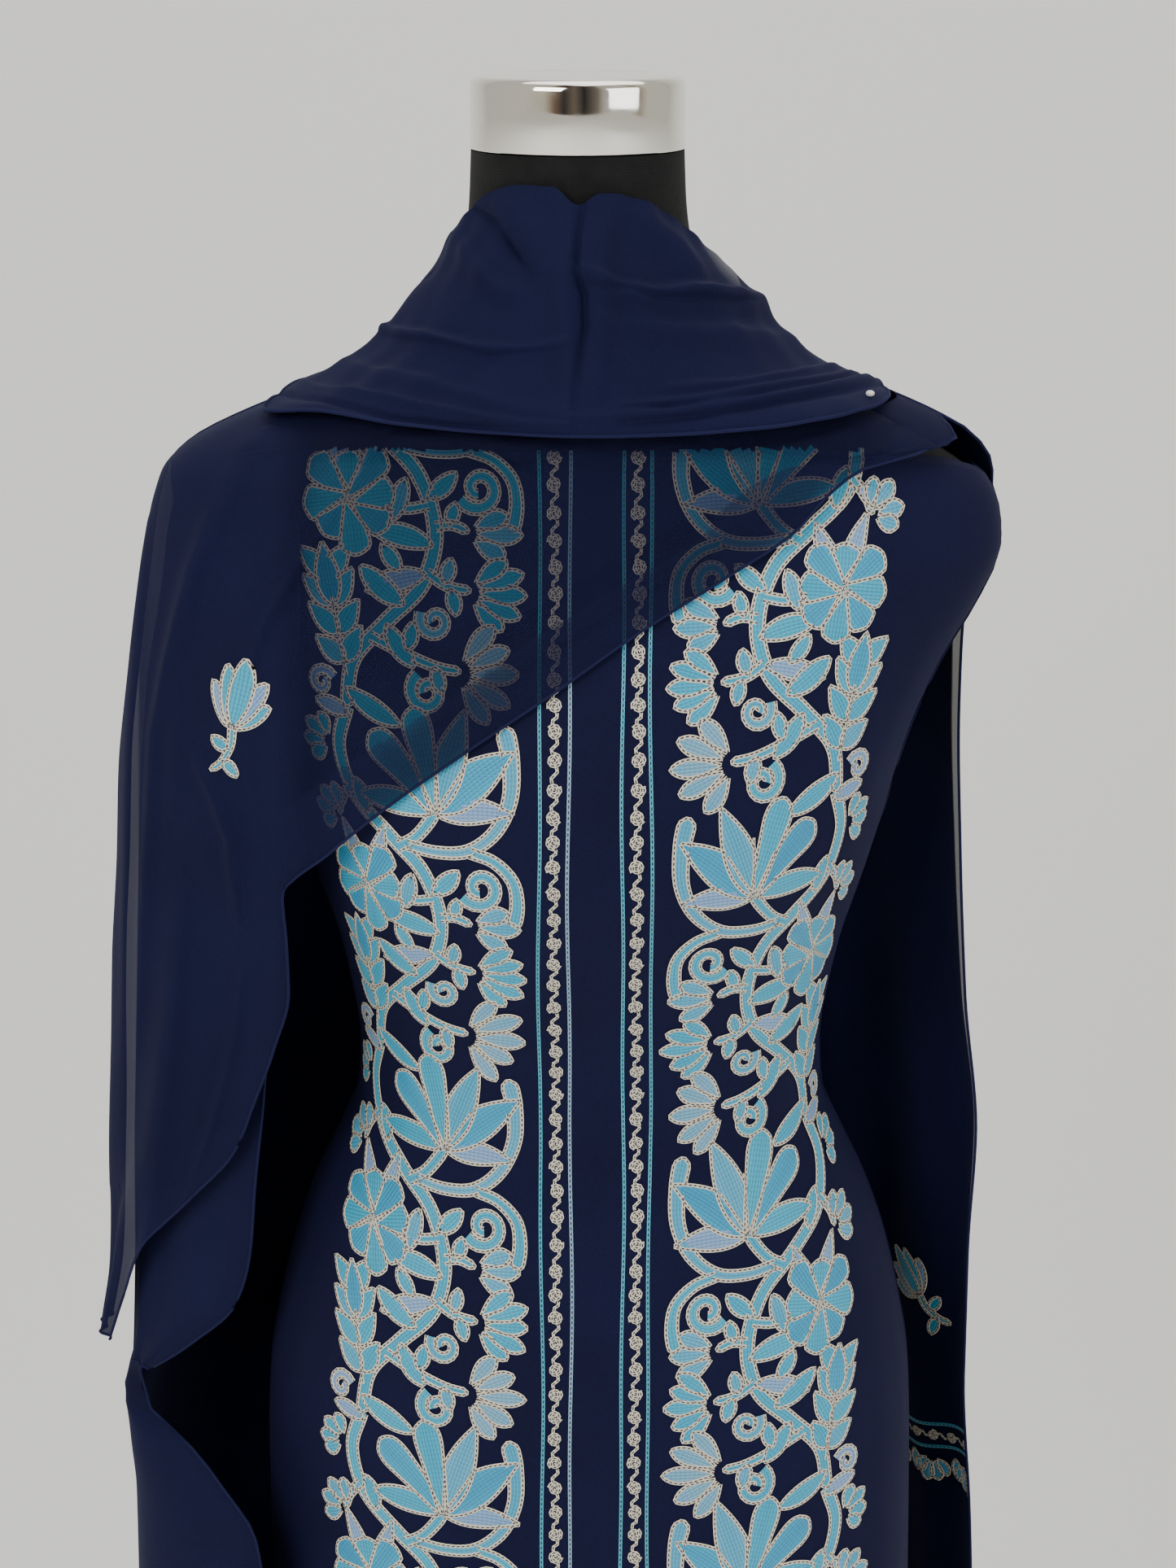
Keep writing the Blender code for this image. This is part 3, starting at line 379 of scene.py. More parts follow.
def lathe(name, profile, material, centre, segments=96):
    """Turned piece from a profile of radius and height, open where it doesn't reach the axis."""
    turn = np.linspace(0, 2 * math.pi, segments + 1)
    profile = np.array(profile, float)
    points = np.stack([centre + profile[:, :1] * np.cos(turn), profile[:, :1] * np.sin(turn),
                       profile[:, 1:] + 0 * turn], -1)
    return grid_object(name, points[::-1], material, closed=True)


def tube(name, lines, radius, material, sides=6):
    """Round threads along lines of points, joined in one mesh."""
    verts, faces = [], []
    for line in lines:
        line = np.array(line, float)
        way = np.gradient(line, axis=0)
        way /= np.linalg.norm(way, axis=1, keepdims=True) + 1e-12
        helper = np.where(np.abs(way[:, 2:]) < 0.9, [[0.0, 0.0, 1.0]], [[1.0, 0.0, 0.0]])
        one = np.cross(way, helper)
        one /= np.linalg.norm(one, axis=1, keepdims=True)
        two = np.cross(way, one)
        turn = np.linspace(0, 2 * math.pi, sides, endpoint=False)
        round_it = one[:, None] * np.cos(turn)[:, None] + two[:, None] * np.sin(turn)[:, None]
        loop = line[:, None] + radius * round_it
        start = len(verts)
        verts += loop.reshape(-1, 3).tolist()
        for i in range(len(line) - 1):
            for k in range(sides):
                a, b = start + i * sides + k, start + i * sides + (k + 1) % sides
                faces.append((a, b, b + sides, a + sides))
        faces.append(tuple(range(start + sides - 1, start - 1, -1)))
        faces.append(tuple(range(len(verts) - sides, len(verts))))
    mesh = bpy.data.meshes.new(name)
    mesh.from_pydata(verts, [], faces)
    mesh.shade_smooth()
    mesh.materials.append(material)
    made = bpy.data.objects.new(name, mesh)
    bpy.context.scene.collection.objects.link(made)
    return made


# Materials
def new_material(name, colour, rough, metallic=0.0):
    made = bpy.data.materials.new(name)
    made.use_nodes = True
    shader = made.node_tree.nodes["Principled BSDF"]
    shader.inputs["Base Color"].default_value = (*colour, 1.0)
    shader.inputs["Roughness"].default_value = rough
    shader.inputs["Metallic"].default_value = metallic
    return made, made.node_tree, shader


def node(tree, kind, **inputs):
    made = tree.nodes.new(kind)
    for name, value in inputs.items():
        key = name.replace("_", " ")
        if isinstance(value, bpy.types.NodeSocket):
            tree.links.new(value, made.inputs[key])
        else:
            made.inputs[key].default_value = value
    return made


def ramp(tree, factor, stops):
    made = tree.nodes.new("ShaderNodeValToRGB")
    tree.links.new(factor, made.inputs["Fac"])
    low, high = made.color_ramp.elements
    low.position, low.color = stops[0][0], (*stops[0][1], 1.0)
    high.position, high.color = stops[-1][0], (*stops[-1][1], 1.0)
    for place, colour in stops[1:-1]:
        made.color_ramp.elements.new(place).color = (*colour, 1.0)
    return made.outputs["Color"]


def bump(tree, shader, height, distance, strength=1.0):
    made = node(tree, "ShaderNodeBump", Height=height, Distance=distance, Strength=strength)
    tree.links.new(made.outputs["Normal"], shader.inputs["Normal"])


def crepe_material(name, dark, light, rough=0.80, grain=1500.0, layered=False):
    """Fine crepe: twisted threads give a pebbled grain. A layered one is as dense as its folds are many."""
    made, tree, shader = new_material(name, dark, rough)
    place = tree.nodes.new("ShaderNodeTexCoord").outputs["Object"]
    pebbles = node(tree, "ShaderNodeTexNoise", Vector=place, Scale=grain, Detail=2.0, Roughness=0.6)
    patches = node(tree, "ShaderNodeTexNoise", Vector=place, Scale=14.0, Detail=3.0, Roughness=0.5)
    both = node(tree, "ShaderNodeMath")
    both.operation = "MULTIPLY_ADD"
    tree.links.new(pebbles.outputs["Fac"], both.inputs[0])
    both.inputs[1].default_value = 0.75
    spread = node(tree, "ShaderNodeMath")
    spread.operation = "MULTIPLY"
    tree.links.new(patches.outputs["Fac"], spread.inputs[0])
    spread.inputs[1].default_value = 0.30
    tree.links.new(spread.outputs[0], both.inputs[2])
    colour = ramp(tree, both.outputs[0], [(0.36, dark), (0.68, light)])
    tree.links.new(colour, shader.inputs["Base Color"])
    bump(tree, shader, pebbles.outputs["Fac"], 0.00025, 0.55)
    if layered:
        cover = tree.nodes.new("ShaderNodeAttribute")
        cover.attribute_name = "cover"
        tree.links.new(cover.outputs["Fac"], shader.inputs["Alpha"])
    shader.inputs["Sheen Weight"].default_value = 0.02
    shader.inputs["Sheen Roughness"].default_value = 0.5
    shader.inputs["Sheen Tint"].default_value = (0.45, 0.50, 1.0, 1.0)
    shader.inputs["Specular IOR Level"].default_value = 0.12
    return made


def knit_material(name, colour):
    """Fine jersey: columns of stitches along the threads' UVs."""
    made, tree, shader = new_material(name, colour, 0.88)
    uv = tree.nodes.new("ShaderNodeTexCoord").outputs["UV"]
    ribs = node(tree, "ShaderNodeTexWave", Vector=uv, Scale=180.0, Distortion=0.6, Detail=1.0)
    courses = node(tree, "ShaderNodeTexWave", Vector=uv, Scale=240.0, Distortion=0.8, Detail=1.0)
    courses.bands_direction = "Y"
    both = node(tree, "ShaderNodeMath")
    both.operation = "MULTIPLY"
    tree.links.new(ribs.outputs["Fac"], both.inputs[0])
    tree.links.new(courses.outputs["Fac"], both.inputs[1])
    place = tree.nodes.new("ShaderNodeTexCoord").outputs["Object"]
    fluff = node(tree, "ShaderNodeTexNoise", Vector=place, Scale=60.0, Detail=5.0, Roughness=0.7)
    shade = ramp(tree, fluff.outputs["Fac"], [(0.35, tuple(c * 0.7 for c in colour)),
                                              (0.72, tuple(c * 1.8 for c in colour))])
    tree.links.new(shade, shader.inputs["Base Color"])
    bump(tree, shader, both.outputs[0], 0.0003, 0.6)
    shader.inputs["Specular IOR Level"].default_value = 0.2
    shader.inputs["Sheen Weight"].default_value = 0.03
    shader.inputs["Sheen Roughness"].default_value = 0.6
    return made


def chrome_material(name, smudge=0.10):
    """Polished plate with faint smudges and a soft waviness."""
    made, tree, shader = new_material(name, (0.88, 0.85, 0.78), 0.08, 1.0)
    place = tree.nodes.new("ShaderNodeTexCoord").outputs["Object"]
    marks = node(tree, "ShaderNodeTexNoise", Vector=place, Scale=38.0, Detail=6.0, Roughness=0.65)
    rough = node(tree, "ShaderNodeMapRange", Value=marks.outputs["Fac"])
    rough.inputs["From Min"].default_value = 0.40
    rough.inputs["From Max"].default_value = 0.75
    rough.inputs["To Min"].default_value = 0.05
    rough.inputs["To Max"].default_value = 0.05 + smudge
    tree.links.new(rough.outputs["Result"], shader.inputs["Roughness"])
    waves = node(tree, "ShaderNodeTexNoise", Vector=place, Scale=22.0, Detail=1.0)
    bump(tree, shader, waves.outputs["Fac"], 0.0006, 0.25)
    return made


def pin_material(name):
    """Moulded head of a dressmaker's pin, a little yellowed in places."""
    made, tree, shader = new_material(name, (0.80, 0.79, 0.75), 0.28)
    place = tree.nodes.new("ShaderNodeTexCoord").outputs["Object"]
    marks = node(tree, "ShaderNodeTexNoise", Vector=place, Scale=400.0, Detail=2.0)
    tree.links.new(ramp(tree, marks.outputs["Fac"], [(0.3, (0.72, 0.70, 0.63)), (0.7, (0.82, 0.81, 0.78))]),
                   shader.inputs["Base Color"])
    return made


def calc(tree, operation, *values):
    made = tree.nodes.new("ShaderNodeMath")
    made.operation = operation
    for k, value in enumerate(values):
        if isinstance(value, bpy.types.NodeSocket):
            tree.links.new(value, made.inputs[k])
        else:
            made.inputs[k].default_value = value
    return made.outputs[0]


def ramp_up(tree, value, low, high):
    """0 below low, 1 above high; the other way round where low is over high."""
    made = node(tree, "ShaderNodeMapRange", Value=value)
    made.inputs["From Min"].default_value = low
    made.inputs["From Max"].default_value = high
    return made.outputs["Result"]


def tinted(tree, factor, colour, dark):
    """The colour, darkened towards dark by the factor."""
    made = tree.nodes.new("ShaderNodeMix")
    made.data_type = "RGBA"
    tree.links.new(factor, made.inputs["Factor"])
    tree.links.new(colour, made.inputs[6])
    made.inputs[7].default_value = (*dark, 1.0)
    return made.outputs[2]


# Rows and stitches of the fill, and stitches and half width of the chain, in metres
FILL_ROW, FILL_STITCH, CHAIN_STITCH, CHAIN_HALF = 0.0017, 0.0024, 0.0026, 0.00095


def thread_material(name, kind):
    """Chain stitch in rows over a filled shape, with painted shade in the grooves between rows and at stitch
    ends, or one braided line of it with its needle holes.
    """
    made, tree, shader = new_material(name, (0.5, 0.5, 0.5), 0.45 if kind == "fill" else 0.40)
    uv = tree.nodes.new("ShaderNodeSeparateXYZ")
    tree.links.new(tree.nodes.new("ShaderNodeTexCoord").outputs["UV"], uv.inputs[0])
    along, across = uv.outputs["X"], uv.outputs["Y"]
    colour = tree.nodes.new("ShaderNodeAttribute")
    colour.attribute_name = "thread"
    if kind == "fill":
        row = calc(tree, "FRACT", calc(tree, "DIVIDE", across, FILL_ROW))
        row = calc(tree, "MULTIPLY", calc(tree, "ABSOLUTE", calc(tree, "SUBTRACT", row, 0.5)), 2.0)
        stitch = calc(tree, "FRACT", calc(tree, "ADD", calc(tree, "DIVIDE", along, FILL_STITCH),
                                          calc(tree, "MULTIPLY", row, 0.4)))
        ends = calc(tree, "ABSOLUTE", calc(tree, "SUBTRACT", stitch, 0.5))
        # Painted shade: the fill thread darkens towards a deeper turquoise in the grooves between rows and at
        # each stitch's ends
        groove_shade = ramp_up(tree, row, 0.35, 1.0)
        stitch_end_shade = ramp_up(tree, ends, 0.30, 0.50)
        dark = calc(tree, "MULTIPLY_ADD", groove_shade, 0.50, calc(tree, "MULTIPLY", stitch_end_shade, 0.34))
        dark = calc(tree, "MINIMUM", dark, 1.0)
        shade = (0.010, 0.14, 0.24)
    else:
        cell = calc(tree, "FRACT", calc(tree, "DIVIDE", along, CHAIN_STITCH))
        ends = calc(tree, "ABSOLUTE", calc(tree, "SUBTRACT", cell, 0.5))
        side = calc(tree, "ABSOLUTE", calc(tree, "DIVIDE", across, CHAIN_HALF))
        hole = calc(tree, "MULTIPLY", ramp_up(tree, side, 0.52, 0.26), ramp_up(tree, ends, 0.38, 0.22))
        cross = calc(tree, "MULTIPLY", ramp_up(tree, ends, 0.38, 0.50), 0.35)
        dark = calc(tree, "MAXIMUM", hole, cross)
        shade = (0.030, 0.032, 0.060)
    tree.links.new(tinted(tree, dark, colour.outputs["Color"], shade), shader.inputs["Base Color"])
    place = tree.nodes.new("ShaderNodeTexCoord").outputs["Object"]
    fibre = node(tree, "ShaderNodeTexNoise", Vector=place, Scale=2600.0, Detail=2.0)
    height = calc(tree, "SUBTRACT", calc(tree, "MULTIPLY", fibre.outputs["Fac"], 0.35), dark)
    bump(tree, shader, height, 0.0004, 0.8)
    shader.inputs["Sheen Weight"].default_value = 0.15
    if kind == "chain":
        shader.inputs["Metallic"].default_value = 0.25
    return made


FILL_THREAD = thread_material("embroidery thread", "fill")
CHAIN_THREAD = thread_material("metal chain stitch", "chain")
KAMEEZ_CLOTH = crepe_material("kameez crepe", (0.0038, 0.0044, 0.0240), (0.0068, 0.0080, 0.0420))
DUPATTA_CLOTH = crepe_material("dupatta chiffon", (0.0036, 0.0046, 0.0250), (0.0068, 0.0086, 0.0450),
                               grain=1900.0, layered=True)
# The hem is a lighter copy of the dupatta chiffon: painted highlight along the rolled edges
LIT_HEM_CLOTH = crepe_material("dupatta hem painted lighter", (0.0080, 0.0096, 0.0420), (0.0120, 0.0140, 0.0600), grain=1900.0)
SALWAR_CLOTH = crepe_material("salwar crepe", (0.0036, 0.0042, 0.0220), (0.0062, 0.0074, 0.0390))
FORM_CLOTH = knit_material("form jersey", (0.0060, 0.0062, 0.0066))
CHROME = chrome_material("chrome")
PIN_PLASTIC = pin_material("pin head")


# The vine that is embroidered
BAND_REPEAT = 185.0

# One petal or leaf in the band, in millimetres: base (across outward, down), heading in degrees from
# up towards the band's outer edge, length, width, sideways bend of the tip, outline and thread
Petal = namedtuple("Petal", "x y heading length wide bend shape thread")
Fan = namedtuple("Fan", "x y heading spread count length wide thread")
Stem = namedtuple("Stem", "path wide end thread")
Coil = namedtuple("Coil", "x y radius turns start way wide thread")

STEMS = [
    Stem([(92, -8), (98, 12), (91, 34), (72, 52), (54, 69),
          (46, 94), (52, 118), (70, 136), (87, 154), (92, 177)], 6.4, 6.4, "turquoise"),
    Stem([(67, 57), (58, 52), (50, 43), (47, 37)], 4.8, 5.4, "turquoise"),
    Stem([(62, 56), (46, 58), (30, 56), (17, 46), (10, 30), (10, 12), (13, -2)], 4.6, 8.6, "mixed"),
    Stem([(30, 57), (18, 61), (9, 70), (7, 82), (9, 94)], 4.4, 6.8, "turquoise"),
    Stem([(46, 92), (38, 91), (30, 94)], 4.0, 3.4, "turquoise"),
    Stem([(50, 113), (40, 119), (29, 121)], 4.0, 3.4, "turquoise"),
    Stem([(78, 143), (62, 150), (46, 156), (34, 158)], 4.2, 3.4, "turquoise"),
    Stem([(93, 30), (100, 38), (103, 46)], 4.0, 3.6, "mixed"),
    Stem([(49, 82), (60, 84), (70, 82)], 4.0, 4.0, "turquoise"),
]
COILS = [
    Coil(50, 168, 9.5, 1.20, 300, 1, 5.6, "turquoise"),
    Coil(25, 74, 10.5, 1.15, 30, 1, 5.8, "turquoise"),
    Coil(46, 135, 8.0, 1.15, 330, 1, 5.0, "mixed"),
    Coil(105, 166, 7.0, 1.10, 200, 1, 4.6, "lilac"),
]
FANS = [
    Fan(32, 95, -92, 62, 3, 27, 8.6, "mixed"),
    Fan(31, 122, -93, 92, 5, 29, 8.0, "turquoise"),
    Fan(36, 159, -92, 112, 5, 32, 8.6, "pale"),
    Fan(102, 46, 62, 118, 4, 18, 8.0, "mixed"),
    Fan(103, 10, 72, 112, 4, 17, 7.6, "turquoise"),
]
PETALS = [
    Petal(60, 70, 158, 20, 8.6, 2, "oval", "mixed"),
    Petal(96, 34, 116, 16, 8.0, 2, "oval", "lilac"),
    Petal(84, 43, 10, 18, 8.8, 4, "oval", "turquoise"),
    Petal(47, 101, 68, 30, 10.6, 5, "oval", "turquoise"),
    Petal(50, 114, 94, 31, 10.4, 5, "oval", "lilac"),
    Petal(61, 128, 62, 28, 10.4, -4, "oval", "turquoise"),
    Petal(70, 137, 206, 24, 9.4, 4, "oval", "turquoise"),
    Petal(92, 168, -126, 32, 10.0, 4, "oval", "turquoise"),
    Petal(50, 79, -58, 18, 8.4, 3, "oval", "turquoise"),
    Petal(91, -4, 62, 19, 8.0, 3, "oval", "lilac"),
    Petal(42, 118, -24, 12, 6.8, 2, "oval", "mixed"),
    Petal(39, 120, 206, 12, 6.8, -2, "oval", "turquoise"),
    Petal(40, 91, -28, 11, 6.4, 2, "oval", "turquoise"),
    Petal(60, 149, -22, 13, 7.0, 2, "oval", "turquoise"),
    Petal(47, 156, 204, 13, 7.0, -2, "oval", "mixed"),
    Petal(72, 100, -152, 16, 7.4, 2, "oval", "turquoise"),
]
TULIPS = [(47, 39, -4, 1.10)]
ROSETTES = [(88, 80, 24.5, 8)]
SERRATED = [(91, 162, 101, 103, 4)]


def smooth_path(points, step=2.0):
    """Even points along a smooth curve through a few."""
    points = np.array(points, float)
    ends = np.concatenate([[2 * points[0] - points[1]], points, [2 * points[-1] - points[-2]]])
    t = np.linspace(0, 1, 24, endpoint=False)[:, None]
    parts = []
    for a, b, c, d in zip(ends, ends[1:], ends[2:], ends[3:]):
        square, cube = (2 * a - 5 * b + 4 * c - d) * t ** 2, (3 * b - a - 3 * c + d) * t ** 3
        parts.append((2 * b + (c - a) * t + square + cube) / 2)
    line = np.concatenate(parts + [points[-1:]])
    run = np.concatenate([[0], np.cumsum(np.linalg.norm(np.diff(line, axis=0), axis=1))])
    at = np.linspace(0, run[-1], max(int(run[-1] / step), 2) + 1)
    return np.stack([np.interp(at, run, line[:, 0]), np.interp(at, run, line[:, 1])], 1)


def side_of(path):
    way = np.gradient(path, axis=0)
    way /= np.linalg.norm(way, axis=1, keepdims=True) + 1e-9
    return np.stack([-way[:, 1], way[:, 0]], 1)


SHAPES = {
    "oval": lambda t: np.sin(np.pi * t ** 1.05) ** 0.62,
    "finger": lambda t: np.sin(np.pi * (0.04 + 0.96 * t) ** 1.55) ** 0.62,
    "point": lambda t: np.sin(np.pi * t ** 0.80) ** 0.85,
    "lobe": lambda t: ((0.25 + 0.75 * t)
                       * np.sqrt(np.clip(1 - np.clip((t - 0.70) / 0.30, 0, 1) ** 2.4, 0, 1)) * 1.08),
}


def inside(flat, ring):
    """Which flat places lie within a closed outline."""
    near = np.all((flat > ring.min(axis=0)) & (flat < ring.max(axis=0)), axis=1)
    x, y = flat[near].T
    odd = np.zeros(len(x), bool)
    for (x0, y0), (x1, y1) in zip(ring, np.roll(ring, -1, axis=0)):
        if y0 != y1:
            odd ^= ((y0 > y) != (y1 > y)) & (x < (x1 - x0) * (y - y0) / (y1 - y0) + x0)
    held = np.zeros(len(flat), bool)
    held[near] = odd
    return held


class Embroidery:
    """Ribbons of thread in the band's own plane: filled shapes and the chain stitch round them.
    Each shape has a rank and an outline, and one of a higher rank is sewn in place of those below it."""

    def __init__(self, seed):
        self.ribbons = []
        self.ranks, self.outlines, self.rank = [], [], 0
        self.random = np.random.default_rng(seed)
        self.layer = 0.0

    def fill(self, path, wide, thread):
        self.rank += 1
        self.ranks.append(self.rank)
        lift = 0.16 + self.layer + 0.012 * (len(self.ribbons) % 8)
        self.ribbons.append(("fill", path, wide, lift, thread, self.random.random()))

    def chain(self, path, wide=1.75):
        self.ranks.append(self.rank)
        lift = 0.36 + self.layer + 0.012 * (len(self.ribbons) % 8)
        self.ribbons.append(("chain", path, np.full(len(path), wide), lift, "chain", self.random.random()))

    def petal(self, one):
        x, y, heading, length, wide, bend, shape, thread = one
        r = self.random
        heading = math.radians(heading + r.uniform(-3, 3))
        length, wide = length * r.uniform(0.95, 1.05), wide * r.uniform(0.95, 1.06)
        t = np.linspace(0, 1, max(int(length / 2.2), 6) + 1)
        way = np.array([math.sin(heading), -math.cos(heading)])
        side = np.array([-way[1], way[0]])
        path = np.array([x, y]) + np.outer(t * length, way) + np.outer(bend * t ** 2, side)
        half = SHAPES[shape](t) * wide / 2
        self.fill(path, 2 * half, thread)
        across = side_of(path)
        off = across * half[:, None]
        ring = np.concatenate([(path + off)[:-1], (path - off)[::-1]])
        tip = path[-1] + way * 0.4
        ring[len(path) - 1] = tip
        self.outlines.append((self.rank, ring))
        self.chain(smooth_path(ring, 2.0))

    def fan(self, one):
        x, y, heading, spread, count, length, wide, thread = one
        for k in range(count):
            share = k / (count - 1) - 0.5
            reach = length * (1 - 0.55 * share * share) * self.random.uniform(0.92, 1.04)
            turn = math.radians(heading + spread * share)
            out = 0.22 * length
            self.layer = 0.12 + 0.03 * (k % 2)
            self.petal(Petal(x + out * math.sin(turn), y - out * math.cos(turn), heading + spread * share,
                             reach - out, wide, -4 * share, "finger", thread))

    def stem(self, one):
        path = smooth_path(one.path, 2.2)
        share = np.linspace(0, 1, len(path))
        wide = one.wide + (one.end - one.wide) * share ** 2
        end = np.clip((1 - share) * len(path) * 2.2 / (one.end * 0.6), 0, 1)
        wide = wide * np.sqrt(1 - (1 - end) ** 2 * 0.96)
        self.fill(path, wide, one.thread)
        across = side_of(path) * (wide / 2)[:, None]
        ring = np.concatenate([path + across, (path - across)[::-1]])
        self.outlines.append((self.rank, ring))
        self.chain(ring)

    def coil(self, one):
        count = int(one.turns * 2 * math.pi * one.radius * 0.6 / 2.0)
        t = np.linspace(0, 1, count)
        radius = one.radius * (1 - 0.74 * t ** 0.9)
        turn = math.radians(one.start) + one.way * 2 * math.pi * one.turns * t
        path = np.array([one.x, one.y]) + np.stack([radius * np.cos(turn), radius * np.sin(turn)], 1)
        wide = one.wide * (1 - 0.30 * t)
        self.fill(path, wide, one.thread)
        across = side_of(path) * (wide / 2)[:, None]
        self.outlines.append((self.rank, np.concatenate([path + across, (path - across)[::-1]])))
        self.chain(path + across, 1.7)
        self.chain(path - across, 1.7)

    def tulip(self, x, y, heading, size):
        """Open flower: two low side petals, two tall ones and a middle one, over a small cup."""
        for turn, length, wide, bend, shape, thread, out in (
                (-78, 34, 10.5, -6, "point", "lilac", 0), (76, 36, 10.5, 6, "oval", "turquoise", 0),
                (-44, 44, 16.0, -5, "point", "deep", 0), (42, 42, 15.5, 5, "lobe", "deep", 0),
                (-14, 46, 15.0, -2, "point", "mixed", 1), (16, 44, 14.5, 2, "lobe", "turquoise", 1)):
            self.layer = 0.05 + 0.10 * out
            self.petal(Petal(x, y, heading + turn, length * size, wide * size, bend, shape, thread))
        self.layer = 0.22
        for turn, length in ((-30, 24), (2, 27), (30, 22)):
            turn = math.radians(heading + turn)
            way = np.array([math.sin(turn), -math.cos(turn)])
            self.chain(np.array([x, y]) + np.outer(np.linspace(0, length * size, 9), way), 1.5)
        self.layer = 0.0

    def rosette(self, x, y, size, lobes):
        """Round flower: lobes right round, veins between them, and two pointed leaves."""
        for turn in (-28, 16):
            self.petal(Petal(x, y, turn, size * 1.45, size * 0.40, 3, "point", "lilac"))
        for k in range(lobes):
            turn = 360 * k / lobes + 8
            self.layer = 0.05 + 0.04 * (k % 3)
            reach = size * (0.86 + 0.16 * ((k * 5) % 3) / 2)
            self.petal(Petal(x, y, turn, reach, size * 0.66, 0, "lobe", "deep" if k % 2 else "turquoise"))
        self.layer = 0.24
        for k in range(0, lobes, 2):
            turn = math.radians(360 * (k + 0.5) / lobes + 8)
            way = np.array([math.sin(turn), -math.cos(turn)])
            self.chain(np.array([x, y]) + np.outer(np.linspace(0, size * 0.55, 6), way), 1.5)
        self.layer = 0.0

    def serrated(self, x, y, tip_x, tip_y, pairs):
        """Long leaf made of pointed lobes on both sides of its rib."""
        base, tip = np.array([x, y], float), np.array([tip_x, tip_y], float)
        way = tip - base
        length = np.linalg.norm(way)
        heading = math.degrees(math.atan2(way[0], -way[1]))
        for k in range(pairs):
            share = 0.10 + 0.66 * k / (pairs - 1)
            at = base + way * share
            reach = length * 0.36 * (1 - 0.30 * abs(share - 0.45))
            self.layer = 0.04 + 0.02 * k
            self.petal(Petal(*at, heading - 34, reach, 10.4, -2, "point", "turquoise"))
            self.petal(Petal(*at, heading + 34, reach, 10.4, 2, "point", "turquoise" if k % 2 else "mixed"))
        self.layer = 0.20
        self.petal(Petal(*(base + way * 0.55), heading, length * 0.47, 12.0, 0, "point", "deep"))
        self.chain(base + np.outer(np.linspace(0, 0.62, 12), way), 1.6)
        self.layer = 0.0

    def beads(self, place, start, end, size=1.0):
        """A string of coiled beads with a thread between them; place turns along and off into a point."""
        at, k = start, 0
        while at < end:
            off = 0.5 * math.sin(at / 47)
            t = np.linspace(0, 1, 19)
            turn = 2 * math.pi * 2.1 * t + k
            radius = (3.25 - 2.5 * t) * size
            coil = np.array([place(at + r * math.sin(a), off + r * math.cos(a))
                             for r, a in zip(radius, turn)])
            self.ribbons.append(("chain", coil, np.full(19, 1.75 * size), 0.34, "chain", 0.3))
            gap = (12.6 + 0.9 * math.sin(k * 1.3)) * size
            far = gap / size
            link = [(3.2, 1.2), (far / 2 - 1, 1.4), (far / 2 + 1, -1.2), (far - 3.2, -1.0)]
            link = smooth_path([place(at + a * size, off + b * size) for a, b in link], 1.8 * size)
            self.ribbons.append(("chain", link, np.full(len(link), 1.6 * size), 0.2, "chain", 0.6))
            at += gap
            k += 1

    def buta(self, x, y, heading, size):
        """Small flower scattered on a plain ground: five petals, a bent stem and two leaves."""
        turn = math.radians(heading)
        across, down = np.array([math.cos(turn), math.sin(turn)]), np.array([-math.sin(turn), math.cos(turn)])
        base = np.array([x, y], float)

        def at(right, low):
            return base + (right * across + low * down) * size

        bent = [tuple(at(right, low)) for right, low in ((0, 0), (-2, 9), (-8, 17), (-15, 21))]
        self.stem(Stem(bent, 3.4 * size, 3.0 * size, "turquoise"))
        for right, low, way, length in ((-3, 10, -64, 11), (-7, 16, 128, 12)):
            self.petal(Petal(*at(right, low), heading + way, length * size, 6.6 * size, 2, "oval",
                             "turquoise"))
        self.layer = 0.10
        for way, length, wide, thread in ((-20, 25, 9.4, "lilac"), (64, 22, 10.0, "turquoise"),
                                          (2, 31, 10.6, "turquoise"), (42, 27, 10.4, "lilac"),
                                          (22, 34, 10.6, "turquoise")):
            self.layer += 0.03
            self.petal(Petal(x, y, heading + way, length * size, wide * size, 2, "oval", thread))
        self.layer = 0.0

    def repeat(self, top):
        """One repeat of the vine, with its top at a distance down the band."""
        start, first, self.rank = len(self.ribbons), len(self.outlines), 0
        for one in COILS:
            self.coil(one)
        self.layer = 0.06
        for one in STEMS:
            self.stem(one)
        self.layer = 0.10
        for one in PETALS:
            self.petal(one)
        self.layer = 0.13
        for one in FANS:
            self.fan(one)
        self.layer = 0.0
        for one in SERRATED:
            self.serrated(*one)
        for one in ROSETTES:
            self.rosette(*one)
        for one in TULIPS:
            self.tulip(*one)
        for k in range(start, len(self.ribbons)):
            kind, path, wide, lift, thread, chance = self.ribbons[k]
            self.ribbons[k] = (kind, path + np.array([0, top]), wide, lift, thread, chance)
        for k in range(first, len(self.outlines)):
            rank, ring = self.outlines[k]
            self.outlines[k] = (rank, ring + np.array([0, top]))

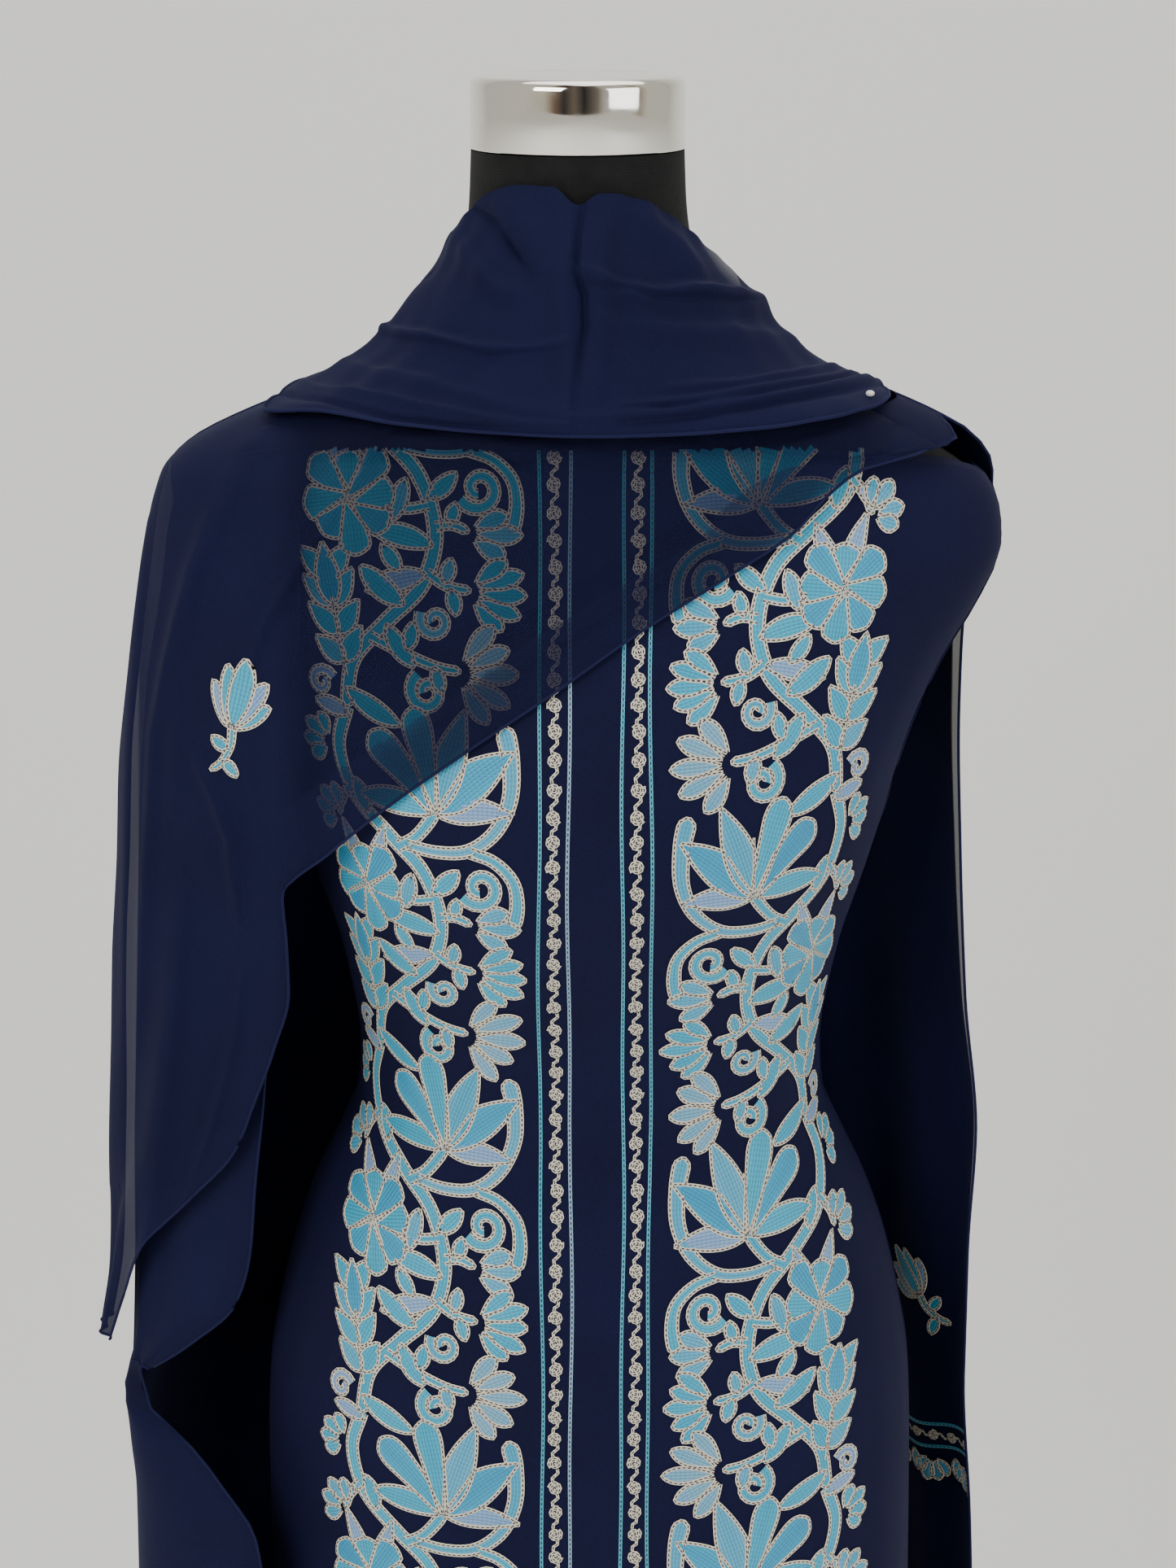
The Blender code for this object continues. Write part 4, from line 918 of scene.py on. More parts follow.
# Form and stand
def make_form():
    z = np.concatenate([np.linspace(1.4637, 1.34, 50), np.linspace(1.336, 0.700, 130)])[:, None]
    angle = (np.linspace(0, 360, 121) + 180)[None, :]
    points = section_surface(BODY)(z, angle)
    low = points[-1:].copy()
    rim = [points]
    for share in (0.97, 0.85, 0.5, 0.12):
        ring_low = low.copy()
        ring_low[..., 0] = BODY_X + (low[..., 0] - BODY_X) * share
        ring_low[..., 1] = low[..., 1] * share
        rim.append(ring_low)
    torso = grid_object("dress_form", np.concatenate(rim), FORM_CLOTH, closed=True)
    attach(torso, "root")
    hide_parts("form_torso")
    low_z, high_z = CAP_Z
    edge = 0.005
    profile = [(0.0, low_z), (CAP_RADIUS - 0.0006, low_z), (CAP_RADIUS, low_z + 0.0008),
               (CAP_RADIUS, high_z - edge)]
    for k in range(1, 9):
        turn = math.pi / 2 * k / 8
        profile.append((CAP_RADIUS - edge + edge * math.cos(turn), high_z - edge + edge * math.sin(turn)))
    profile += [(0.030, high_z + 0.0003), (0.012, high_z + 0.0005), (0.0, high_z + 0.0005)]
    cap = lathe("neck_cap", profile, CHROME, NECK_X)
    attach(cap, "root")
    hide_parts("form_neck_cap")
    for name in ("stand_pole", "stand_foot", "form_collar"):
        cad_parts[name].data.materials.clear()
        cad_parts[name].data.materials.append(CHROME)


# Kameez
def kameez_top(angle):
    """Height of the kameez's top edge at an angle from a panel's middle."""
    (z,) = read(KAMEEZ_TOP, np.abs(angle))
    return z


def kameez_off(z, angle, folds):
    """How far the kameez's outer face stands off the body's section."""
    (gap,) = read(KAMEEZ_GAP, z)
    share = np.clip((HIP_Z - z) / (HIP_Z - HEM_Z), 0.0, 1.0)
    swell = sum(fold.depth * np.exp(-(((angle - fold.angle) / fold.width) ** 2)) for fold in folds)
    soft = uneven(angle / 100, z, 0.16, 3) * 0.0005 * np.clip((1.26 - z) / 0.05, 0, 1)
    relative = np.where(np.abs(angle) > 90, angle - 180, angle)
    roll = 0.0011 * np.exp(-(((z - kameez_top(relative) + 0.004) / 0.0035) ** 2))
    return gap + CLOTH + share * swell + soft + roll


def kameez_face(z, angle, folds=FRONT_FOLDS, extra=0.0):
    """Points of the kameez's outer face, lifted off it by extra."""
    surface = section_surface(KAMEEZ)
    return surface(z, angle) + outward(surface, z, angle) * (kameez_off(z, angle, folds) + extra)[..., None]


def sew_hem(name, lines, material, radius=0.0008):
    """Narrow rolled hem along free edges."""
    piece = tube(name, [line[::2] for line in lines], radius, material, sides=5)
    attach(piece, "root")
    return [piece]


def make_kameez(name, middle, folds, node_name, with_pieces=()):
    z = np.linspace(NECKLINE_Z, HEM_Z, 190)[:, None]
    (edge,) = read(SIDE_EDGE, z)
    off_middle = (edge - SEAM_ANGLE) * np.linspace(-1, 1, 121)[None, :]
    share = np.clip((z - TOP_FOLLOWED_FROM) / (NECKLINE_Z - TOP_FOLLOWED_FROM), 0, 1)
    z = np.where(share > 0, TOP_FOLLOWED_FROM + (kameez_top(off_middle) - TOP_FOLLOWED_FROM) * share, z)
    points = kameez_face(z, middle + off_middle, folds)
    piece = grid_object(name, points, KAMEEZ_CLOTH, thick=0.0009)
    sewn = sew_hem(name + "_hem", [points[:, 0], points[-1], points[:, -1]], KAMEEZ_CLOTH,
                   0.0007)
    finish_sheet(piece, points, "draped", ["dress_form"], "kameez_cloth", node_name,
                 with_pieces=list(with_pieces) + sewn)
    return points


# The embroidery on the kameez, and its thread colours
BAND_START, STRIP_X = 31.0, 0.004
BAND_TOP_Z, BAND_LOW_Z = KAMEEZ_TOP[0].z, HEM_Z + 0.014
THREADS = {
    "turquoise": ((0.014, 0.40, 0.63), (0.060, 0.54, 0.77)),
    "deep": ((0.008, 0.31, 0.57), (0.032, 0.47, 0.73)),
    "mixed": ((0.040, 0.40, 0.63), (0.20, 0.52, 0.76)), "lilac": ((0.22, 0.38, 0.68), (0.36, 0.52, 0.76)),
    "pale": ((0.14, 0.42, 0.62), (0.38, 0.54, 0.70)), "chain": ((0.82, 0.75, 0.59), (0.82, 0.75, 0.59)),
    "line": ((0.040, 0.42, 0.58), (0.08, 0.48, 0.64)), "pale line": ((0.24, 0.44, 0.64), (0.34, 0.52, 0.68)),
}


def ribbon_grid(ribbon):
    """Flat places, heights, UVs and colours of one ribbon's points, all in millimetres."""
    kind, path, wide, lift, thread, chance = ribbon
    cells = 2 if kind == "chain" else (4 if wide.max() > 9 else 3)
    s = np.linspace(-1, 1, cells + 1)
    across = side_of(path)
    flat = path[:, None] + across[:, None] * s[None, :, None] * wide[:, None, None] / 2
    dome = 0.42 if kind == "chain" else 0.26
    height = lift + dome * (1 - s ** 2)[None, :] + 0 * wide[:, None]
    run = np.concatenate([[0], np.cumsum(np.linalg.norm(np.diff(path, axis=0), axis=1))]) + chance * 50
    reach = np.full(len(path), 0.95) if kind == "chain" else wide / 2
    uv = np.stack([run[:, None] + 0 * s[None, :], reach[:, None] * s[None, :]], -1)
    inner, outer = (np.array(c) for c in THREADS[thread])
    share = np.linspace(0, 1, len(path))[:, None]
    mix = 0.15 + 0.65 * np.abs(s)[None, :] ** 2 + 0.35 * (chance - 0.5) + 0.25 * (0.5 - share)
    mix = np.clip(mix, 0, 1)[..., None]
    colour = inner + (outer - inner) * mix
    return flat, height, uv, colour


def sew(name, work, place, keep, materials, covering=True):
    """Join ribbons into one mesh. place turns flat millimetres and a height into points."""
    flats, heights, uvs, colours, quads, kinds, start = [], [], [], [], [], [], 0
    for ribbon in work.ribbons:
        flat, height, uv, colour = ribbon_grid(ribbon)
        rows, cols = height.shape
        index = start + np.arange(rows * cols).reshape(rows, cols)
        quad = np.stack([index[:-1, :-1], index[:-1, 1:], index[1:, 1:], index[1:, :-1]], -1).reshape(-1, 4)
        flats.append(flat.reshape(-1, 2))
        heights.append(height.reshape(-1))
        uvs.append(uv.reshape(-1, 2))
        colours.append(colour.reshape(-1, 3))
        quads.append(quad)
        kinds.append(np.full(len(quad), 1 if ribbon[0] == "chain" else 0))
        start += rows * cols
    sizes = [len(part) for part in flats]
    flat, height = np.concatenate(flats), np.concatenate(heights)
    quads, kinds = np.concatenate(quads), np.concatenate(kinds)
    kept = keep(flat)[quads].any(axis=1)
    if covering:
        ranks = np.repeat(work.ranks, sizes)
        for rank, ring in work.outlines:
            kept &= ~(inside(flat, ring) & (ranks < rank))[quads].all(axis=1)
    quads, kinds = quads[kept], kinds[kept]
    used, quads = np.unique(quads, return_inverse=True)
    quads = quads.reshape(-1, 4)
    points = place(flat[used], height[used] / 1000)
    normal = np.cross(points[quads[:, 1]] - points[quads[:, 0]], points[quads[:, 3]] - points[quads[:, 0]])
    out = points[quads[:, 0]] * np.array([1, 1, 0]) - np.array([BODY_X, 0, 0])
    turned = (normal * out).sum(axis=1) < 0
    quads[turned] = quads[turned][:, ::-1]
    mesh = bpy.data.meshes.new(name)
    mesh.from_pydata(points.tolist(), [], quads.tolist())
    layer = mesh.uv_layers.new(name="stitches")
    uv = np.concatenate(uvs)[used] / 1000
    layer.data.foreach_set("uv", uv[quads.reshape(-1)].reshape(-1).astype(np.float32))
    shade = mesh.color_attributes.new("thread", "FLOAT_COLOR", "POINT")
    colour = np.concatenate([np.concatenate(colours)[used], np.ones((len(used), 1))], axis=1)
    shade.data.foreach_set("color", colour.reshape(-1).astype(np.float32))
    for material in materials:
        mesh.materials.append(material)
    mesh.polygons.foreach_set("material_index", kinds.astype(np.int32))
    mesh.shade_smooth()
    made = bpy.data.objects.new(name, mesh)
    bpy.context.scene.collection.objects.link(made)
    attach(made, "root")
    return made


def arc_table():
    """Angle on the kameez front at each height and distance round from the plain middle strip."""
    z, angle = np.linspace(HEM_Z, BAND_TOP_Z, 160), np.linspace(-100, 100, 401)
    points = kameez_face(z[:, None] + 0 * angle, angle[None, :] + 0 * z[:, None])
    run = np.cumsum(np.linalg.norm(np.diff(points, axis=1), axis=2), axis=1)
    run = np.concatenate([np.zeros((len(z), 1)), run], 1)
    across = np.linspace(-0.26, 0.26, 521)
    middle = slice(100, 301)
    rows = []
    for line, length in zip(points[..., 0], run):
        rows.append(np.interp(across, length - np.interp(STRIP_X, line[middle], length[middle]), angle))
    return z, across, np.array(rows)


def angle_across(table, across, z):
    heights, places, angles = table
    i = np.clip((z - heights[0]) / (heights[1] - heights[0]), 0, len(heights) - 1.001)
    j = np.clip((across - places[0]) / (places[1] - places[0]), 0, len(places) - 1.001)
    i0, j0 = i.astype(int), j.astype(int)
    i, j = i - i0, j - j0
    return ((angles[i0, j0] * (1 - j) + angles[i0, j0 + 1] * j) * (1 - i)
            + (angles[i0 + 1, j0] * (1 - j) + angles[i0 + 1, j0 + 1] * j) * i)


def make_kameez_embroidery():
    table = arc_table()
    length = (BAND_TOP_Z - BAND_LOW_Z) * 1000
    pieces = []

    def spot(flat, start, side):
        z = BAND_TOP_Z - np.clip(flat[:, 1], 0, length) / 1000
        return z, angle_across(table, side * (start + flat[:, 0]) / 1000, z)

    def keep_on(start, side):
        def keep(flat):
            z, angle = spot(flat, start, side)
            return (flat[:, 1] < length) & (z < kameez_top(angle) - 0.0008)
        return keep

    def place_on(start, side):
        def place(flat, lift):
            z, angle = spot(flat, start, side)
            return kameez_face(z, angle, extra=lift)
        return place

    for name, side, first, seed in (("left", -1, -56.0, 3), ("right", 1, -14.0, 8)):
        work = Embroidery(seed)
        top = first - BAND_REPEAT
        while top < length:
            work.repeat(top)
            top += BAND_REPEAT

        pieces.append(sew("embroidered_band_" + name, work, place_on(BAND_START, side),
                          keep_on(BAND_START, side), [FILL_THREAD, CHAIN_THREAD]))

    middle = Embroidery(5)
    down = np.arange(0, length + 1, 2.5)
    lines = ((-27.5, "line"), (-13.0, "pale line"), (13.0, "line"), (26.5, "line"))
    for k, (place_x, thread) in enumerate(lines):
        wander = 0.7 * np.sin(down / 61 + k) + 0.4 * np.sin(down / 23 + 2 * k)
        path = np.stack([place_x + wander, down], 1)
        middle.ribbons.append(("chain", path, np.full(len(path), 1.7), 0.15, thread, k / 4))
    for side in (-20.2, 19.8):
        middle.beads(lambda along, off, side=side: (side + off, along), 3.0, length - 6)

    pieces.append(sew("embroidered_beads_and_lines", middle, place_on(0.0, 1), keep_on(0.0, 1),
                      [FILL_THREAD, CHAIN_THREAD], covering=False))
    return pieces


# Dupatta: creases by their path in the photograph's pixels, width, depth and lean
Crease = namedtuple("Crease", "path wide depth lean")
COWL_CREASES = [
    Crease([(690, 232), (698, 300), (694, 360), (698, 430), (700, 520)], 20, 0.0050, 0.8),
    Crease([(752, 240), (738, 300), (734, 350), (738, 420), (730, 500)], 20, 0.0045, 0.8),
    Crease([(590, 262), (606, 276), (636, 312), (650, 340)], 13, -0.0030, 0.5),
    Crease([(610, 240), (640, 262), (662, 300), (668, 340)], 26, 0.0045, 0.7),
    Crease([(560, 290), (590, 330), (612, 352), (640, 362)], 16, 0.0040, 0.6),
    Crease([(716, 330), (760, 352), (800, 360), (845, 357), (900, 362), (950, 384)], 15, 0.0060, 0.45),
    Crease([(790, 262), (826, 300), (850, 330), (862, 352)], 22, 0.0050, 0.6),
    Crease([(462, 408), (520, 412), (580, 426), (640, 428), (700, 420)], 13, 0.0050, 0.45),
    Crease([(740, 392), (830, 404), (900, 408), (980, 424)], 20, 0.0035, 0.5),
    Crease([(520, 350), (490, 390), (440, 440), (380, 470)], 22, 0.0040, 0.6),
    Crease([(900, 310), (930, 360), (980, 410), (1060, 450)], 20, 0.0040, 0.6),
    Crease([(420, 452), (520, 468), (620, 492), (700, 505)], 15, 0.0035, 0.5),
    Crease([(380, 478), (460, 490), (560, 508), (640, 520), (700, 522)], 8, 0.0045, 0.4),
    Crease([(700, 512), (820, 506), (930, 492), (1040, 474), (1100, 468)], 8, 0.0050, 0.4),
    Crease([(760, 496), (860, 490), (960, 476), (1060, 462)], 9, 0.0045, 0.4),
    Crease([(820, 474), (910, 470), (1000, 456), (1080, 448)], 10, 0.0035, 0.4),
    Crease([(720, 236), (711, 291), (708, 339), (718, 362), (719, 400), (713, 440), (708, 480), (707, 528)],
           5, -0.0032, 0.6),
    Crease([(724, 352), (773, 355), (803, 366), (860, 368), (915, 374)], 5, -0.0026, 0.5),
    Crease([(582, 256), (612, 272), (628, 298), (650, 330)], 5, -0.0028, 0.5),
    Crease([(336, 487), (391, 496), (482, 516), (560, 524), (650, 526)], 5, -0.0028, 0.5),
    Crease([(760, 520), (860, 511), (966, 496), (1085, 478)], 5, -0.0028, 0.5),
    Crease([(800, 504), (880, 498), (966, 484), (1070, 464)], 5, -0.0026, 0.5),
    Crease([(470, 416), (542, 424), (603, 438), (688, 430)], 6, -0.0020, 0.5),
]
CHEST_CREASES = [
    Crease([(479, 525), (461, 563), (430, 614), (390, 668), (323, 775)], 12, 0.0045, 0.40),
    Crease([(243, 920), (269, 973), (288, 1027), (297, 1139)], 11, 0.0055, 0.4),
    Crease([(330, 530), (290, 600), (246, 700), (222, 820), (214, 1000)], 22, 0.0045, 0.5),
    Crease([(1040, 545), (940, 590), (800, 660), (650, 750), (500, 860)], 18, 0.0030, 0.5),
    Crease([(1100, 545), (1010, 592), (890, 664), (770, 738), (620, 832), (500, 912)], 9, 0.0032, 0.4),
    Crease([(640, 545), (580, 640), (480, 770), (370, 905)], 18, 0.0035, 0.6),
    Crease([(430, 560), (392, 660), (320, 790), (276, 900)], 14, 0.0035, 0.5),
    Crease([(820, 545), (880, 560), (960, 550), (1040, 530)], 12, 0.0030, 0.5),
    Crease([(480, 540), (560, 532), (640, 545), (720, 552)], 12, 0.0030, 0.5),
    Crease([(230, 1080), (220, 1250), (200, 1420), (180, 1560)], 20, 0.0060, 0.5),
    Crease([(300, 1180), (290, 1280), (262, 1380), (230, 1470)], 15, 0.0050, 0.5),
    Crease([(262, 640), (228, 760), (196, 900), (186, 1100), (170, 1300)], 14, 0.0040, 0.5),
    Crease([(180, 640), (172, 800), (164, 980), (160, 1200), (150, 1450)], 11, 0.0040, 0.6),
]


def swell_of(points, creases):
    place = in_photo(points)
    return sum(crease(place, c.path, c.wide, c.depth, c.lean) for c in creases)


def make_cowl():
    angle = np.linspace(-128, 128, 420)[None, :]
    top, fold = read(COWL_EDGES, angle)
    fall = np.linspace(0, 1, 120)[:, None]
    z = top + (fold - top) * fall
    angle = angle + 0 * z
    surface = section_surface(COWL)
    base = surface(z, angle)
    front = np.clip((100 - np.abs(angle)) / 15, 0, 1)
    swell = swell_of(base, COWL_CREASES) * front
    swell = swell + 0.0042 * np.exp(-(((fall - 0.97) / 0.09) ** 2)) * np.exp(-((angle / 105) ** 4))
    swell = swell + uneven(angle / 120, z * 2, 0.12, 5) * 0.0010
    points = base + outward(surface, z, angle) * swell[..., None]
    cover = 1.0 - 0.14 * np.exp(-((fall / 0.30) ** 2)) * np.clip((angle - 68) / 12, 0, 1)
    piece = grid_object("cowl", points, DUPATTA_CLOTH, cover=cover)
    sewn = sew_hem("cowl_hem", [points[-1]], LIT_HEM_CLOTH, 0.0010)
    finish_sheet(piece, points, "draped", ["dress_form", "chest_sheet"], "dupatta_cloth", "dupatta_cowl",
                 with_pieces=sewn)
    spot = np.linalg.norm(in_photo(points) - np.array([1068, 484]), axis=-1)
    place = points[np.unravel_index(np.argmin(spot), spot.shape)]
    profile = [(0.0022 * math.sin(math.pi * k / 8), 0.0016 * math.cos(math.pi * k / 8)) for k in range(9)]
    pin = lathe("pin_head", profile, PIN_PLASTIC, 0.0, 16)
    pin.location = Vector(place) + Vector((0.0, -0.0015, 0.0010))
    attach(pin, "root")
    return points


def drape_points(table, back_angle, ripple, creases, rows, cols):
    z = np.linspace(table[0].z, table[-1].z, rows)[:, None]
    edge_x, left, right, _ = read(table, z)
    half = np.where(edge_x > 0, right, left)
    start = np.sign(edge_x) * np.degrees(np.arcsin(np.clip(np.abs(edge_x) / half, 0, 1) ** (DRAPE_POWER / 2)))
    share = np.linspace(1, 0, cols)[None, :]
    angle = start + (back_angle - start) * share
    z = z + 0 * angle
    fall = (table[0].z - z) / (table[0].z - table[-1].z)
    surface = drape_surface(table)
    base = surface(z, angle)
    swell = ripple * fall * (0.5 + 0.5 * np.sin(2 * np.pi * 2.5 * share + 3 * fall))
    if creases:
        swell = swell + swell_of(base, creases) * np.clip((92 + angle) / 12, 0, 1)
        swell = swell + 0.0003 + 0.0012 * np.exp(-(((z - NECKLINE_Z + 0.004) / 0.008) ** 2))
    swell = np.maximum(swell + uneven(angle / 120, z * 1.5, 0.20, 2) * 0.0008, 0.0002)
    return base + outward(surface, z, angle) * swell[..., None]


def edge_cover(points, strips, single, dense=1.0):
    """How dense folded cloth is: one layer within a strip of each side edge, several between."""
    run = np.cumsum(np.linalg.norm(np.diff(points, axis=1), axis=2), axis=1)
    run = np.concatenate([np.zeros((len(points), 1)), run], axis=1)
    cover = np.full(run.shape, dense)
    for strip, far in zip(strips, (run, run[:, -1:] - run)):
        if strip:
            cover = np.minimum(cover, single + (dense - single) * np.clip((far - strip) / 0.002, 0, 1))
    return cover


def on_sheet(points, pixel, face=1.0):
    """Places flat millimetres round the point of a sheet at a pixel of the photograph."""
    spot = np.linalg.norm(in_photo(points) - np.array(pixel), axis=-1)
    row, col = np.unravel_index(np.argmin(spot), spot.shape)
    across = np.concatenate([[0], np.cumsum(np.linalg.norm(np.diff(points[row], axis=0), axis=1))])
    down = np.concatenate([[0], np.cumsum(np.linalg.norm(np.diff(points[:, col], axis=0), axis=1))])
    side = points[row, min(col + 1, len(across) - 1)] - points[row, max(col - 1, 0)]
    side /= np.linalg.norm(side)
    step = points[min(row + 1, len(down) - 1), col] - points[max(row - 1, 0), col]
    step /= np.linalg.norm(step)
    slant = float(step @ side)
    steep = math.sqrt(1 - slant * slant)
    normal = np.cross(np.gradient(points, axis=1), np.gradient(points, axis=0))
    normal /= np.linalg.norm(normal, axis=-1, keepdims=True)
    out = points * np.array([1, 1, 0]) - np.array([BODY_X, 0, 0])
    normal *= np.where((normal * out).sum(axis=-1, keepdims=True) < 0, -1, 1) * face

    def place(flat, lift):
        low = flat[:, 1] / 1000 / steep
        j = np.interp(across[col] + flat[:, 0] / 1000 - low * slant, across, np.arange(len(across)))
        i = np.interp(down[row] + low, down, np.arange(len(down)))
        i0, j0 = np.minimum(i.astype(int), len(down) - 2), np.minimum(j.astype(int), len(across) - 2)
        i, j = (i - i0)[:, None], (j - j0)[:, None]

        def mixed(grid):
            return ((grid[i0, j0] * (1 - j) + grid[i0, j0 + 1] * j) * (1 - i)
                    + (grid[i0 + 1, j0] * (1 - j) + grid[i0 + 1, j0 + 1] * j) * i)

        return mixed(points) + mixed(normal) * lift[:, None]

    return place, (-across[col] * 1000, (across[-1] - across[col]) * 1000)


def sew_butas(name, points, spots, face=1.0):
    """Scattered flowers on a dupatta sheet, each at a pixel with a heading and a size."""
    pieces = []
    for k, (pixel, heading, size) in enumerate(spots):
        work = Embroidery(20 + k)
        work.buta(0.0, 0.0, heading, size)
        place, _ = on_sheet(points, pixel, face)
        piece = sew("%s_%d" % (name, k + 1), work, place, lambda flat: flat[:, 0] > -1e3,
                    [FILL_THREAD, CHAIN_THREAD])
        pieces.append(piece)
    return pieces


def sew_border(name, points, pixel, face):
    """End border across a dupatta sheet: two lines, beads between them and small sprigs below."""
    work = Embroidery(31)
    place, (left, right) = on_sheet(points, pixel, face)
    at = np.arange(left + 2, right - 2, 2.4)
    for off, thread in ((0.0, "line"), (14.0, "line")):
        path = np.stack([at, off + 1.2 * np.sin(at / 17) + 0.6 * np.sin(at / 7)], 1)
        work.ribbons.append(("chain", path, np.full(len(path), 1.9), 0.15, thread, 0.4))
    work.beads(lambda along, off: (along, 7.0 + off), left + 7, right - 7, 0.9)
    for middle in np.arange(left + 16, right - 10, 27.0):
        work.fan(Fan(middle, 20.0, 180, 104, 4, 16, 7.4, "mixed"))
        work.petal(Petal(middle + 12, 19.0, 186, 12, 6.4, 2, "oval", "turquoise"))
    piece = sew(name, work, place, lambda flat: (flat[:, 0] > left) & (flat[:, 0] < right),
                [FILL_THREAD, CHAIN_THREAD], covering=False)
    return [piece]


def make_drapes():
    chest = drape_points(CHEST, CHEST_BACK_ANGLE, 0.004, CHEST_CREASES, 230, 150)
    across = in_photo(chest)[..., 0]
    run = np.linalg.norm(np.diff(chest, axis=1), axis=2)
    run = np.concatenate([np.cumsum(run[:, ::-1], axis=1)[:, ::-1], np.zeros((len(chest), 1))], axis=1)
    cover = np.where(run < DOUBLED_WIDTH, DOUBLED_COVER, SHEER_COVER)
    cover = 0.99 + (cover - 0.99) * np.clip((across - 335) / 45, 0, 1)
    cover = cover - 0.035 * np.clip((STRIP_INNER_PIXEL - across) / 3, 0, 1)
    piece = grid_object("chest_sheet", chest, DUPATTA_CLOTH, cover=cover)
    sewn = sew_hem("chest_sheet_hem", [chest[:, -1], chest[-1], chest[:, 0]], LIT_HEM_CLOTH)
    sewn += sew_butas("chest_sheet_buta", chest, [((286, 896), -8, 1.0)])
    finish_sheet(piece, chest, "draped", ["kameez_front_panel", "dress_form"], "dupatta_cloth",
                 "dupatta_chest", with_pieces=sewn)
    middle = drape_points(MIDDLE_FALL, MIDDLE_BACK_ANGLE, 0.002, None, 150, 60)
    piece = grid_object("middle_fall", middle, DUPATTA_CLOTH, cover=edge_cover(middle, (0.0, 0.012), 0.96))
    sewn = sew_hem("middle_fall_hem", [middle[:, -1], middle[-1]], LIT_HEM_CLOTH)
    finish_sheet(piece, middle, "hung", ["chest_sheet"], "dupatta_cloth", "dupatta_middle_fall",
                 with_pieces=sewn)
    for name, table, node_name in (("rear_fall", REAR_FALL, "dupatta_rear_fall"),
                                   ("right_fall", RIGHT_FALL, "dupatta_right_fall")):
        z = np.linspace(table[0].z, table[-1].z, 220)[:, None]
        start, stop, _, _ = read(table, z)
        share = np.linspace(0, 1, 90)[None, :]
        angle = start + (stop - start) * share
        z = z + 0 * angle
        fall = (table[0].z - z) / (table[0].z - table[-1].z)
        surface = fall_surface(table)
        swell = FALL_RIPPLE * np.minimum(2 * fall, 1.0) * (1 - np.cos(2 * np.pi * 2 * share + fall))
        swell = swell + uneven(angle / 100, z, 0.2, 4) * 0.0006 * fall
        points = surface(z, angle) + outward(surface, z, angle) * swell[..., None]
        if start[0, 0] > stop[0, 0]:
            points = points[:, ::-1]
        if name == "right_fall":
            cover = np.where(z > 1.22, 1.0, edge_cover(points, (0.009, 0.0), 0.86))
        else:
            cover = edge_cover(points, (0.0, 0.008), 0.97)
        piece = grid_object(name, points, DUPATTA_CLOTH, cover=cover)
        sewn = sew_hem(name + "_hem", [points[:, 0], points[-1], points[:, -1]], LIT_HEM_CLOTH)
        if name == "right_fall":
            sewn += sew_butas("right_fall_buta", points, [((1132, 1590), 20, 0.9)], face=-1.0)
            sewn += sew_border("right_fall_border", points, (1150, 1750), face=-1.0)
        else:
            sewn += sew_butas("rear_fall_buta", points, [((230, 1240), -6, 1.0), ((300, 1640), 8, 1.0)])
        finish_sheet(piece, points, "hung", ["dress_form"], "dupatta_cloth", node_name, with_pieces=sewn)


# Salwar
def leg_points(table, side, z, cols=120):
    inner, outer, front, back, round_share = read(table, z)
    reach = np.abs(outer - BODY_X) + YOKE_GAP + CLOTH
    front, back = front + YOKE_GAP + CLOTH, back + YOKE_GAP + CLOTH
    middle, half = (inner + outer) / 2, np.abs(outer - inner) / 2
    power = YOKE[-1].power
    edge = np.clip((inner - BODY_X) * side / reach, -1, 1)
    start = np.degrees(np.arcsin(np.sign(edge) * np.abs(edge) ** (power / 2)))
    share = np.linspace(0, 1, cols)[None, :]
    turn = start + (180 - 2 * start) * share
    shape = ring(z, turn, reach, reach, front, back, power)
    shape[..., 0] = BODY_X + side * (shape[..., 0] - centre_x(z))
    oval_turn = np.radians(-58 + 296 * share)

    def oval(turn):
        depth = np.where(np.cos(turn) > 0, front, back)
        return np.stack([middle + side * half * np.sin(turn), -np.cos(turn) * depth, z + 0 * turn], -1)

    pleat = LEG_PLEAT_DEPTH * np.sin(np.pi * share) * round_share * (z - CUFF_Z[1]) / 0.6
    wave = pleat * (1 + np.cos(2 * np.pi * LEG_PLEATS * share))
    way = np.stack([side * np.sin(oval_turn), -np.cos(oval_turn), 0 * oval_turn], -1)
    mix = round_share[..., None]
    ring_points = shape + (oval(oval_turn) - shape) * mix + way * wave[..., None]
    seam_share = np.linspace(0, 1, 16)[None, 1:, None]
    straight = ring_points[:, -1:] + (ring_points[:, :1] - ring_points[:, -1:]) * seam_share
    seam = oval(np.radians(238 + 64 * seam_share[..., 0]))
    around = np.concatenate([ring_points, straight + (seam - straight) * mix], axis=1)
    return around if side > 0 else around[:, ::-1]


